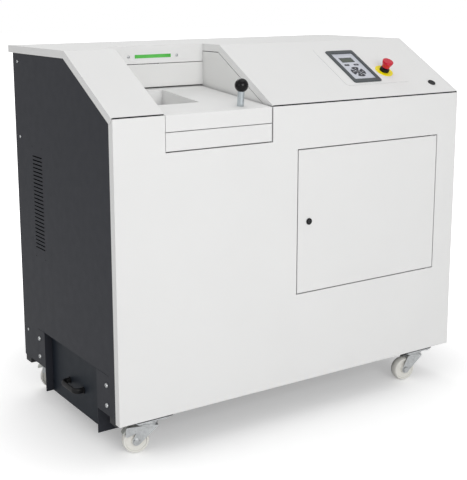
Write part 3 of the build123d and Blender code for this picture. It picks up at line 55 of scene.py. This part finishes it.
class Shader:
    """A small helper that lays out one Principled material with noise, bump and painted shade in the
    crevices.
    """

    def __init__(self, name):
        self.material = bpy.data.materials.new(name)
        self.material.use_nodes = True
        self.tree = self.material.node_tree
        self.bsdf = self.tree.nodes["Principled BSDF"]
        self.coords = self.tree.nodes.new("ShaderNodeTexCoord").outputs["Object"]

    def node(self, kind, **values):
        made = self.tree.nodes.new(kind)
        for key, value in values.items():
            if key in made.inputs:
                made.inputs[key].default_value = value
            else:
                setattr(made, key, value)
        return made

    def link(self, out, into):
        self.tree.links.new(out, into)

    def noise(self, scale, detail=3.0, roughness=0.5, coords=None):
        made = self.node("ShaderNodeTexNoise", Scale=scale, Detail=detail, Roughness=roughness)
        self.link(coords or self.coords, made.inputs["Vector"])
        return made.outputs["Fac"]

    def voronoi(self, scale, randomness=1.0):
        made = self.node("ShaderNodeTexVoronoi", Scale=scale, Randomness=randomness)
        self.link(self.coords, made.inputs["Vector"])
        return made

    def stretched(self, scale):
        made = self.node("ShaderNodeMapping", Scale=scale)
        self.link(self.coords, made.inputs["Vector"])
        return made.outputs["Vector"]

    def ramp(self, fac, low, high, start=0.3, end=0.7):
        made = self.node("ShaderNodeValToRGB")
        made.color_ramp.elements[0].position = start
        made.color_ramp.elements[1].position = end
        made.color_ramp.elements[0].color = (*low, 1.0)
        made.color_ramp.elements[1].color = (*high, 1.0)
        self.link(fac, made.inputs["Fac"])
        return made.outputs["Color"]

    def span(self, fac, low, high, start=0.3, end=0.7):
        made = self.node("ShaderNodeMapRange")
        for key, value in zip(("From Min", "From Max", "To Min", "To Max"), (start, end, low, high)):
            made.inputs[key].default_value = value
        self.link(fac, made.inputs["Value"])
        return made.outputs["Result"]

    def multiply(self, color, factor):
        made = self.node("ShaderNodeMix", data_type="RGBA", blend_type="MULTIPLY")
        made.inputs["Factor"].default_value = 1.0
        self.link(color, made.inputs["A"])
        self.link(factor, made.inputs["B"])
        return made.outputs["Result"]

    def painted_crevice_shade(self, distance, dark):
        """Painted shade: a tint from an ambient occlusion mask that darkens where surfaces come close
        together.
        """
        made = self.node("ShaderNodeAmbientOcclusion", Distance=distance, samples=8)
        return self.ramp(made.outputs["AO"], dark, (1.0, 1.0, 1.0), start=0.15, end=0.85)

    def bump(self, height, strength, distance, below=None):
        made = self.node("ShaderNodeBump", Strength=strength, Distance=distance)
        self.link(height, made.inputs["Height"])
        if below is not None:
            self.link(below, made.inputs["Normal"])
        return made.outputs["Normal"]

    def set(self, **values):
        for key, value in values.items():
            socket = self.bsdf.inputs[key.replace("_", " ")]
            if isinstance(value, bpy.types.NodeSocket):
                self.link(value, socket)
            else:
                socket.default_value = value
        return self.material


def shade(color, factor):
    return tuple(c * factor for c in color)


def powder_coat(name, color, gloss, peel, variation=0.02, sheen=0.45):
    """Baked powder paint: orange peel, a little cloudiness, uneven gloss and painted shade in the crevices.
    """
    s = Shader(name)
    clouds = s.noise(scale=4.0, detail=4.0)
    tone = s.ramp(clouds, shade(color, 1.0 - variation), shade(color, 1.0 + variation))
    peel_bump = s.bump(s.noise(scale=420.0, detail=2.0), peel, distance=0.0004)
    grain_bump = s.bump(s.noise(scale=1500.0), 0.7 * peel, distance=0.00012, below=peel_bump)
    return s.set(
        # base colour darkened by painted shade where surfaces come close
        Base_Color=s.multiply(tone, s.painted_crevice_shade(distance=0.03, dark=(0.72, 0.72, 0.73))),
        Roughness=s.span(s.noise(scale=30.0, detail=5.0), gloss - 0.02, gloss + 0.03),
        Normal=grain_bump,
        Specular_IOR_Level=sheen,
    )


def metal(name, color, gloss, spangle=0.0, brushed=None, dark=(0.45, 0.43, 0.4), bare=1.0):
    """Bare or plated metal: tone patches or a brushed grain, and painted shade in the crevices."""
    s = Shader(name)
    tone = s.ramp(s.noise(scale=60.0, detail=4.0), shade(color, 0.9), shade(color, 1.06))
    if spangle:
        cells = s.voronoi(scale=260.0).outputs["Color"]
        dull = (1.0 - spangle,) * 3
        tone = s.multiply(tone, s.ramp(cells, dull, (1.0, 1.0, 1.0), start=0.1, end=0.9))
    along = s.stretched(brushed) if brushed else None
    grain = s.noise(scale=90.0, detail=6.0, roughness=0.6, coords=along)
    return s.set(
        # base colour darkened by painted shade in the crevices
        Base_Color=s.multiply(tone, s.painted_crevice_shade(distance=0.012, dark=dark)),
        Metallic=bare,
        Roughness=s.span(grain, gloss - 0.07, gloss + 0.1),
        Normal=s.bump(grain, strength=0.12, distance=0.0003),
    )


def plastic(name, color, gloss, grain=0.15, scale=900.0, variation=0.05, sheen=0.5):
    """Moulded plastic: a fine spark-eroded grain and slight tone changes."""
    s = Shader(name)
    tone = s.ramp(s.noise(scale=25.0), shade(color, 1.0 - variation), shade(color, 1.0 + variation))
    return s.set(
        Base_Color=tone,
        Roughness=s.span(s.noise(scale=70.0, detail=4.0), max(gloss - 0.05, 0.02), gloss + 0.06),
        Normal=s.bump(s.noise(scale=scale, detail=2.0), grain, distance=0.0002),
        Specular_IOR_Level=sheen,
    )


def clear_green():
    """Green acrylic with a painted glow: its emission stands in for light from behind, with no lamp there."""
    s = Shader("green_clear")
    glow = s.ramp(s.noise(scale=18.0, detail=2.0), (0.06, 0.42, 0.05), (0.12, 0.56, 0.10))
    return s.set(
        Base_Color=glow,
        Roughness=0.16,
        Transmission_Weight=0.12,
        # painted glow: the green tone also emits light
        Emission_Color=glow,
        Emission_Strength=0.10,
        Normal=s.bump(s.noise(scale=140.0, detail=2.0), strength=0.05, distance=0.0003),
    )


def display_glass():
    """Reflective liquid crystal display: a faint dot grid under a smooth cover."""
    s = Shader("display")
    dots = s.voronoi(scale=900.0, randomness=0.0).outputs["Distance"]
    tone = s.ramp(dots, (0.055, 0.068, 0.052), (0.070, 0.086, 0.066))
    return s.set(Base_Color=tone, Roughness=0.22, Coat_Weight=0.3, Coat_Roughness=0.06)


COATS = {
    "white_coat": dict(color=(0.80, 0.80, 0.795), gloss=0.58, peel=0.10, variation=0.008, sheen=0.12),
    # recess_coat: the white coat painted a little darker, painted shade for the feed recess
    "recess_coat": dict(color=(0.78, 0.78, 0.77), gloss=0.46, peel=0.10, variation=0.008),
    "slate_coat": dict(color=(0.026, 0.028, 0.036), gloss=0.50, peel=0.22, variation=0.012, sheen=0.25),
    "bin_coat": dict(color=(0.013, 0.018, 0.026), gloss=0.48, peel=0.22, variation=0.012, sheen=0.2),
    "frame_coat": dict(color=(0.035, 0.036, 0.04), gloss=0.6, peel=0.3, variation=0.1),
    "gearbox_paint": dict(color=(0.07, 0.09, 0.12), gloss=0.45, peel=0.5, variation=0.08),
    "motor_paint": dict(color=(0.10, 0.13, 0.17), gloss=0.42, peel=0.4, variation=0.08),
}
METALS = {
    "zinc": dict(color=(0.70, 0.72, 0.73), gloss=0.34, spangle=0.14),
    # a pale, mostly non-metal zinc for the brake pedals: painted light standing in for the lit floor that the
    # zinc reflects
    "pale_zinc": dict(color=(0.74, 0.76, 0.72), gloss=0.42, spangle=0.10, dark=(0.75, 0.74, 0.72), bare=0.25),
    "bright_steel": dict(color=(0.56, 0.56, 0.57), gloss=0.36, brushed=(1.0, 1.0, 12.0)),
    "tool_steel": dict(color=(0.33, 0.33, 0.35), gloss=0.38, brushed=(12.0, 1.0, 1.0)),
    "chrome": dict(color=(0.56, 0.61, 0.64), gloss=0.14, brushed=(1.0, 1.0, 14.0), dark=(0.6, 0.6, 0.6)),
    # near-black metal for the lock cores: a painted dark reflection of the dark surroundings that their metal
    # reflects
    "burnished": dict(color=(0.075, 0.075, 0.08), gloss=0.3),
    # dark grey for the screw sockets: painted shade inside their hollows
    "socket_dark": dict(color=(0.10, 0.10, 0.11), gloss=0.5),
}
PLASTICS = {
    "black_gloss": dict(color=(0.004, 0.004, 0.0045), gloss=0.09, grain=0.02, scale=300.0, sheen=0.25),
    "black_plastic": dict(color=(0.007, 0.007, 0.008), gloss=0.45, grain=0.25, sheen=0.3),
    # near-black strips under the hood's edge: painted shade for the gap
    "black_foam": dict(color=(0.006, 0.006, 0.0065), gloss=0.85, grain=0.6, scale=1200.0, sheen=0.1),
    "bezel_grey": dict(color=(0.070, 0.080, 0.086), gloss=0.46, grain=0.2),
    "membrane": dict(color=(0.60, 0.62, 0.68), gloss=0.34, grain=0.12, scale=1400.0, variation=0.015),
    "key_dark": dict(color=(0.024, 0.026, 0.036), gloss=0.45, grain=0.12),
    "legend_white": dict(color=(0.82, 0.82, 0.84), gloss=0.45, grain=0.05),
    "stop_yellow": dict(color=(0.95, 0.80, 0.0), gloss=0.38, grain=0.06, variation=0.02),
    "stop_red": dict(color=(0.60, 0.005, 0.028), gloss=0.22, grain=0.03, scale=500.0, variation=0.03),
    "polyamide": dict(color=(0.80, 0.79, 0.745), gloss=0.36, grain=0.14, scale=500.0, variation=0.03),
}
mats = {"green_clear": clear_green(), "display": display_glass()}
for make, looks in ((powder_coat, COATS), (metal, METALS), (plastic, PLASTICS)):
    for name, look in looks.items():
        mats[name] = make(name, **look)

# CAD nodes: each gets its slot's material or one of the looks listed below, and rounded edges unless it is
# listed as not rounded
# Looks with painted light: lock cores painted near black for their dark reflection, brake pedals painted pale
# for the lit floor that they reflect
PAINTED_REFLECTION_LOOKS = {
    "hood_lock_core": "burnished",
    "door_lock_core": "burnished",
    "brake_pedal_front_left": "pale_zinc",
    "brake_pedal_rear_left": "pale_zinc",
}
SHARP_ANGLE = math.radians(22.0)
ROUNDING = 0.0006
WIDER_ROUNDING = {"hood": 0.0012, "front_panel": 0.0012, "service_door": 0.0010, "feed_slide": 0.0010}
NOT_ROUNDED = ("slide_knob_ball", "estop_head", "sync_gear_front", "sync_gear_rear")
for name, obj in nodes.items():
    for index in range(len(obj.material_slots)):
        obj.material_slots[index].material = mats[PAINTED_REFLECTION_LOOKS.get(name, slot_of[name])]
    if name in NOT_ROUNDED:
        continue
    rounding = obj.modifiers.new("rounding", "BEVEL")
    rounding.width = WIDER_ROUNDING.get(name, ROUNDING)
    rounding.segments = 3
    rounding.limit_method = "ANGLE"
    rounding.angle_limit = SHARP_ANGLE
    rounding.use_clamp_overlap = True

# The hood's slope: its lower edge, its angle and what lies on it, with v measured up the slope
SLOPE_ORIGIN = Vector((0.0, -0.346, 0.981))
SLOPE_RISE = 0.162
SLOPE_RUN = 0.280
SLOPE_ANGLE = math.atan2(SLOPE_RISE, SLOPE_RUN)
SLOPE_UP = Vector((0.0, math.cos(SLOPE_ANGLE), math.sin(SLOPE_ANGLE)))
SLOPE_OUT = Vector((0.0, -math.sin(SLOPE_ANGLE), math.cos(SLOPE_ANGLE)))
PLATE_THICK = 0.0012
BEZEL_X = sum(node_box("display_bezel"), Vector()).x / 2
BEZEL_V = 0.168


def turned(origin, z_dir, x_dir):
    """Matrix of a local frame with its Z axis along z_dir and its X axis near x_dir."""
    z = Vector(z_dir).normalized()
    y = z.cross(Vector(x_dir)).normalized()
    x = y.cross(z)
    return Matrix.Translation(origin) @ Matrix((x, y, z)).transposed().to_4x4()


def on_slope(x, v, height):
    """Local frame over the hood's slope, from its place across, its place up the slope and its height."""
    origin = SLOPE_ORIGIN + Vector((x, 0.0, 0.0)) + v * SLOPE_UP + height * SLOPE_OUT
    return turned(origin, SLOPE_OUT, (1, 0, 0))


def spun(angle):
    """Turn about the local Z axis, in degrees."""
    return Matrix.Rotation(math.radians(angle), 4, "Z")


# Helpers that make pieces


def finish_mesh(bm, name, material, body, smooth=False):
    """Turn a bmesh into a piece that rides on a body."""
    bmesh.ops.recalc_face_normals(bm, faces=bm.faces)
    mesh = bpy.data.meshes.new(name)
    bm.to_mesh(mesh)
    bm.free()
    for poly in mesh.polygons:
        poly.use_smooth = smooth
    mesh.materials.append(mats[material])
    obj = bpy.data.objects.new(name, mesh)
    bpy.context.scene.collection.objects.link(obj)
    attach(obj, body)


def circle(radius, count):
    """Points of a regular polygon round the origin."""
    angles = [2.0 * math.pi * k / count for k in range(count)]
    return [(radius * math.cos(angle), radius * math.sin(angle)) for angle in angles]


def rectangle(x0, x1, y0, y1):
    return [(x0, y0), (x1, y0), (x1, y1), (x0, y1)]


def border(x0, x1, y0, y1, width_x, width_y):
    """Four strips just inside a rectangle's edge."""
    return [
        rectangle(x0, x1, y0, y0 + width_y),
        rectangle(x0, x1, y1 - width_y, y1),
        rectangle(x0, x0 + width_x, y0 + width_y, y1 - width_y),
        rectangle(x1 - width_x, x1, y0 + width_y, y1 - width_y),
    ]


def lathe(bm, profile, matrix, steps=40):
    """Revolve a profile of (radius, height) points about the matrix's Z axis."""
    rings = []
    for radius, height in profile:
        outline = circle(radius, steps) if radius else [(0.0, 0.0)]
        rings.append([bm.verts.new(matrix @ Vector((x, y, height))) for x, y in outline])
    for low, high in zip(rings, rings[1:]):
        for step in range(steps):
            after = (step + 1) % steps
            if len(low) == 1:
                bm.faces.new((low[0], high[step], high[after]))
            elif len(high) == 1:
                bm.faces.new((low[step], low[after], high[0]))
            else:
                bm.faces.new((low[step], low[after], high[after], high[step]))


def prism(bm, outline, matrix, low, high):
    """Extrude a flat outline of (x, y) points between two heights along the matrix's Z axis."""
    bottom = [bm.verts.new(matrix @ Vector((x, y, low))) for x, y in outline]
    top = [bm.verts.new(matrix @ Vector((x, y, high))) for x, y in outline]
    bm.faces.new(list(reversed(bottom)))
    bm.faces.new(top)
    count = len(outline)
    for index in range(count):
        after = (index + 1) % count
        bm.faces.new((bottom[index], bottom[after], top[after], top[index]))


# Hexagon sockets drawn as dark prisms of painted shade: radius, floor and top, the top just above the domed
# head
SMALL_SOCKET = (0.0017, 0.0020, 0.00266)
LARGE_SOCKET = (0.0023, 0.0036, 0.00446)


def hexagon_socket_shade(bm, place, socket):
    radius, low, high = socket
    prism(bm, circle(radius, 6), place, low, high)


# Status window screws: domed heads, each with a dark hexagon of painted shade for its socket
SMALL_DOME = [
    (0.0, 0.0), (0.0048, 0.0), (0.0048, 0.0006), (0.0044, 0.0014),
    (0.0036, 0.0021), (0.0026, 0.0025), (0.0, 0.0026),
]
WINDOW_SCREW_OFFSET = 0.085
window_low, window_high = node_box("status_window")
window_x, _, window_z = (window_low + window_high) / 2
heads = bmesh.new()
sockets = bmesh.new()
for side in (-1, 1):
    screw_x = window_x + side * WINDOW_SCREW_OFFSET
    place = turned((screw_x, window_low.y, window_z), (0, -1, 0), (1, 0, 0))
    lathe(heads, SMALL_DOME, place)
    hexagon_socket_shade(sockets, place, SMALL_SOCKET)
finish_mesh(heads, "status_window_screws", "zinc", "hood", smooth=True)
finish_mesh(sockets, "status_window_socket_shade", "socket_dark", "hood")

# Legends on the keys: arrows round the middle key, a ring on it and a bar on each soft key
KEY_RISE = 0.0008
KEY_TOP = PLATE_THICK + KEY_RISE
LEGEND_THICK = 0.00012
NAV_V = 0.138
ARROW_ANGLES = {"key_right": 0.0, "key_up": 90.0, "key_left": 180.0, "key_down": 270.0}
ARROW_TAIL_R = 0.0172
ARROW_TIP_R = 0.0207
ARROW_HALF_WIDTH = 0.0028
RING_INNER_R = 0.0032
RING_OUTER_R = 0.0038
SOFT_KEY_X = 0.0193
SOFT_KEY_V = BEZEL_V + 0.009
BAR_HALF_LENGTH = 0.0028
BAR_HALF_WIDTH = 0.0005
arrow = [(ARROW_TAIL_R, -ARROW_HALF_WIDTH), (ARROW_TIP_R, 0.0), (ARROW_TAIL_R, ARROW_HALF_WIDTH)]
for key, angle in ARROW_ANGLES.items():
    bm = bmesh.new()
    prism(bm, arrow, on_slope(BEZEL_X, NAV_V, KEY_TOP) @ spun(angle), 0.0, LEGEND_THICK)
    finish_mesh(bm, f"{key}_arrow", "legend_white", key)

bm = bmesh.new()
ring = rectangle(RING_INNER_R, RING_OUTER_R, 0.0, LEGEND_THICK)
lathe(bm, ring + ring[:1], on_slope(BEZEL_X, NAV_V, KEY_TOP))
finish_mesh(bm, "key_ok_ring", "legend_white", "key_ok")

bar = rectangle(-BAR_HALF_LENGTH, BAR_HALF_LENGTH, -BAR_HALF_WIDTH, BAR_HALF_WIDTH)
for side, key in ((-1, "key_soft_left"), (1, "key_soft_right")):
    bm = bmesh.new()
    prism(bm, bar, on_slope(BEZEL_X + side * SOFT_KEY_X, SOFT_KEY_V, KEY_TOP), 0.0, LEGEND_THICK)
    finish_mesh(bm, f"{key}_bar", "legend_white", key)

# Hexagon sockets in the cabinet's screws, dark prisms of painted shade: small ones along the rear edges,
# large ones on the bin housing
SIDE_X = -node_box("left_side_panel")[0].x
REAR_Y = node_box("rear_panel")[1].y
SMALL_SCREW_Z = (0.223, 0.860, 1.095)
SIDE_SCREW_Y = 0.286
REAR_SCREW_X = 0.610
LARGE_SCREW_Y = (-0.275, 0.1965)
LARGE_SCREW_Z = (0.217, 0.157)
bm = bmesh.new()
for z in SMALL_SCREW_Z:
    for side in (-1, 1):
        on_side = turned((side * SIDE_X, SIDE_SCREW_Y, z), (side, 0, 0), (0, 1, 0))
        on_rear = turned((side * REAR_SCREW_X, REAR_Y, z), (0, 1, 0), (1, 0, 0))
        hexagon_socket_shade(bm, on_side, SMALL_SOCKET)
        hexagon_socket_shade(bm, on_rear, SMALL_SOCKET)
for y in LARGE_SCREW_Y:
    for z in LARGE_SCREW_Z:
        hexagon_socket_shade(bm, turned((-SIDE_X, y, z), (-1, 0, 0), (0, 1, 0)), LARGE_SOCKET)
finish_mesh(bm, "cabinet_screw_socket_shade", "socket_dark", "cabinet")

# Casters: a flared lip on each swivel head, and tread ribs on the pedals, whose angles at rest are given
SWIVEL_LIP = [
    (0.0279, 0.0925), (0.0300, 0.0930), (0.0322, 0.0950), (0.0330, 0.0975), (0.0330, 0.0995),
    (0.0322, 0.1010), (0.0300, 0.1016), (0.0279, 0.1016), (0.0279, 0.0925),
]
LIP_STEPS = 64
PEDAL_ANGLES = {"front_left": 50.0, "rear_left": 10.0}
TREAD_RIBS = 4
TREAD_START = 0.0085
TREAD_STEP = 0.0038
TREAD_HALF_WIDTH = 0.0008
TREAD_HALF_LENGTH = 0.012
TREAD_Z = (0.0014, 0.0022)
for name in ("front_left", "front_right", "rear_left", "rear_right"):
    swivel_x, swivel_y, _ = joint_of[f"caster_swivel_{name}"]["pos_m"]
    axle_x, axle_y, _ = joint_of[f"wheel_spin_{name}"]["axis"]
    yaw = math.degrees(math.atan2(-axle_x, axle_y))
    bm = bmesh.new()
    lathe(bm, SWIVEL_LIP, Matrix.Translation((swivel_x, swivel_y, 0.0)) @ spun(yaw), LIP_STEPS)
    finish_mesh(bm, f"swivel_lip_{name}", "zinc", f"caster_fork_{name}", smooth=True)
    if name in PEDAL_ANGLES:
        pin = Matrix.Translation(joint_of[f"pedal_press_{name}"]["pos_m"])
        tilt = Matrix.Rotation(math.radians(-PEDAL_ANGLES[name]), 4, "Y")
        bm = bmesh.new()
        for rib in range(TREAD_RIBS):
            x = -TREAD_START - TREAD_STEP * rib
            outline = rectangle(
                x - TREAD_HALF_WIDTH, x + TREAD_HALF_WIDTH, -TREAD_HALF_LENGTH, TREAD_HALF_LENGTH
            )
            prism(bm, outline, pin @ spun(yaw) @ tilt, *TREAD_Z)
        # pedal ribs take the zinc with painted light
        finish_mesh(bm, f"pedal_ribs_{name}", "pale_zinc", f"brake_pedal_{name}")

# Emergency stop: grip ribs round the black collar
ESTOP_X = sum(node_box("estop_label"), Vector()).x / 2
ESTOP_V = 0.1328
LABEL_THICK = 0.0015
GRIP_RIBS = 24
GRIP_HEIGHT = 0.0078
GRIP_RIB = [(0.0147, -0.0008), (0.0157, -0.0005), (0.0157, 0.0005), (0.0147, 0.0008)]
bm = bmesh.new()
stop_place = on_slope(ESTOP_X, ESTOP_V, PLATE_THICK + LABEL_THICK)
for rib in range(GRIP_RIBS):
    prism(bm, GRIP_RIB, stop_place @ spun(360.0 * rib / GRIP_RIBS), 0.0, GRIP_HEIGHT)
finish_mesh(bm, "estop_collar_ribs", "black_plastic", "hood")

# Display: a dark frame round the window
DISPLAY_V = BEZEL_V + 0.037
DISPLAY_HALF_X = 0.0262
DISPLAY_HALF_Y = 0.0132
DISPLAY_EDGE_X = 0.0017
DISPLAY_EDGE_Y = 0.0014
DISPLAY_FRAME_THICK = 0.0003
bm = bmesh.new()
for strip in border(
    -DISPLAY_HALF_X, DISPLAY_HALF_X, -DISPLAY_HALF_Y, DISPLAY_HALF_Y, DISPLAY_EDGE_X, DISPLAY_EDGE_Y
):
    prism(bm, strip, on_slope(BEZEL_X, DISPLAY_V, PLATE_THICK), 0.0, DISPLAY_FRAME_THICK)
finish_mesh(bm, "display_frame", "bezel_grey", "hood")

# Service door: a gasket round its inside
DOOR_SHEET = 0.002
DOOR_Z = (0.402, 0.842)
GASKET_INSET = 0.016
GASKET_WIDTH = 0.012
GASKET_DEPTH = 0.009
door_low, door_high = node_box("service_door")
inside = turned((0.0, door_low.y + DOOR_SHEET, 0.0), (0, 1, 0), (-1, 0, 0))
bm = bmesh.new()
for strip in border(
    GASKET_INSET - door_high.x, -GASKET_INSET - door_low.x,
    DOOR_Z[0] + GASKET_INSET, DOOR_Z[1] - GASKET_INSET, GASKET_WIDTH, GASKET_WIDTH,
):
    prism(bm, strip, inside, 0.0, GASKET_DEPTH)
finish_mesh(bm, "door_gasket", "black_plastic", "service_door")

# Painted shade for the gap under the hood: black strips on the front panel's upper edge, on both sides of the
# feed recess
GAP_SHADE_Y = (-0.3475, -0.334)
GAP_SHADE_HEIGHT = 0.0032
GAP_SHADE_X = ((-0.6305, -0.4765), (-0.1095, 0.6305))
panel_top = Matrix.Translation((0.0, 0.0, node_box("front_panel")[1].z))
bm = bmesh.new()
for ends in GAP_SHADE_X:
    prism(bm, rectangle(*ends, *GAP_SHADE_Y), panel_top, 0.0, GAP_SHADE_HEIGHT)
finish_mesh(bm, "hood_gap_shade", "black_foam", "cabinet")

# Floor: it takes the object's shadow, and brightens to white for the camera away from the object
FLOOR_REACH = 30.0
FLOOR_GREY = 0.86
GLOW_FROM = (0.5, 0.30)
GLOW_TO = (1.9, 1.0)


def floor_shader():
    """Pale diffuse floor with a glow that only the camera sees."""
    material = bpy.data.materials.new("floor")
    material.use_nodes = True
    tree = material.node_tree
    tree.nodes.remove(tree.nodes["Principled BSDF"])
    diffuse = tree.nodes.new("ShaderNodeBsdfDiffuse")
    diffuse.inputs["Color"].default_value = (FLOOR_GREY, FLOOR_GREY, FLOOR_GREY, 1.0)
    glow = tree.nodes.new("ShaderNodeEmission")
    both = tree.nodes.new("ShaderNodeAddShader")
    path = tree.nodes.new("ShaderNodeLightPath")
    place = tree.nodes.new("ShaderNodeNewGeometry")
    distance = tree.nodes.new("ShaderNodeVectorMath")
    distance.operation = "LENGTH"
    fade = tree.nodes.new("ShaderNodeMapRange")
    fade.interpolation_type = "SMOOTHSTEP"
    fade.inputs["From Min"].default_value, fade.inputs["To Min"].default_value = GLOW_FROM
    fade.inputs["From Max"].default_value, fade.inputs["To Max"].default_value = GLOW_TO
    seen = tree.nodes.new("ShaderNodeMath")
    seen.operation = "MULTIPLY"
    tree.links.new(place.outputs["Position"], distance.inputs[0])
    tree.links.new(distance.outputs["Value"], fade.inputs["Value"])
    tree.links.new(path.outputs["Is Camera Ray"], seen.inputs[0])
    tree.links.new(fade.outputs["Result"], seen.inputs[1])
    tree.links.new(seen.outputs["Value"], glow.inputs["Strength"])
    tree.links.new(diffuse.outputs["BSDF"], both.inputs[0])
    tree.links.new(glow.outputs["Emission"], both.inputs[1])
    tree.links.new(both.outputs["Shader"], tree.nodes["Material Output"].inputs["Surface"])
    return material


floor_mesh = bpy.data.meshes.new("floor")
bm = bmesh.new()
bmesh.ops.create_grid(bm, x_segments=1, y_segments=1, size=FLOOR_REACH)
bm.to_mesh(floor_mesh)
bm.free()
floor_mesh.materials.append(floor_shader())
floor = bpy.data.objects.new("floor", floor_mesh)
bpy.context.scene.collection.objects.link(floor)

# World: white for the camera, a softer level for the light that it gives
WORLD_LEVEL = 0.57
world = bpy.data.worlds.new("studio")
bpy.context.scene.world = world
world.use_nodes = True
tree = world.node_tree
background = tree.nodes["Background"]
background.inputs["Color"].default_value = (1.0, 1.0, 1.0, 1.0)
path = tree.nodes.new("ShaderNodeLightPath")
level = tree.nodes.new("ShaderNodeMapRange")
level.inputs["To Min"].default_value = WORLD_LEVEL
level.inputs["To Max"].default_value = 1.0
tree.links.new(path.outputs["Is Camera Ray"], level.inputs["Value"])
tree.links.new(level.outputs["Result"], background.inputs["Strength"])

# Lamps: soft rectangles that face the object
LAMPS = {
    "key": dict(place=(-1.0, -4.4, 1.9), target=(0.0, 0.0, 0.5), size=(2.6, 2.2), power=70.0),
    "top": dict(place=(0.2, -0.6, 3.6), target=(0.0, 0.0, 0.8), size=(2.6, 2.0), power=12.0),
    "back": dict(place=(0.3, 2.4, 3.2), target=(0.0, 0.1, 1.1), size=(2.4, 1.6), power=26.0),
    "left": dict(place=(-3.8, -1.2, 1.6), target=(-0.5, 0.0, 0.5), size=(2.0, 2.2), power=8.0),
}


def area_light(name, place, target, size, power):
    lamp = bpy.data.lights.new(name, "AREA")
    lamp.shape = "RECTANGLE"
    lamp.size, lamp.size_y = size
    lamp.energy = power
    obj = bpy.data.objects.new(name, lamp)
    obj.location = place
    obj.rotation_euler = (Vector(target) - Vector(place)).to_track_quat("-Z", "Y").to_euler()
    bpy.context.scene.collection.objects.link(obj)


for name, lamp in LAMPS.items():
    area_light(name, **lamp)

# Camera: at the photograph's angle, with its roll and its shifted frame
CAMERA_PLACE = (-1.8245, -2.6786, 1.2967)
AZIMUTH = math.radians(32.36)
DOWN = math.radians(11.40)
ROLL = math.radians(-0.357)
view = Vector((math.sin(AZIMUTH) * math.cos(DOWN), math.cos(AZIMUTH) * math.cos(DOWN), -math.sin(DOWN)))
level_right = Vector((math.cos(AZIMUTH), -math.sin(AZIMUTH), 0.0))
right = math.cos(ROLL) * level_right + math.sin(ROLL) * level_right.cross(view)
above = right.cross(view)
camera_data = bpy.data.cameras.new("camera")
camera_data.lens = 75.28
camera_data.sensor_width = 36.0
camera_data.shift_x = 0.0602
camera_data.shift_y = -0.0908
camera_data.clip_end = 100.0
camera = bpy.data.objects.new("camera", camera_data)
camera.matrix_world = Matrix.Translation(CAMERA_PLACE) @ Matrix((right, above, -view)).transposed().to_4x4()
bpy.context.scene.collection.objects.link(camera)
bpy.context.scene.camera = camera
bpy.context.scene.view_settings.view_transform = "Standard"
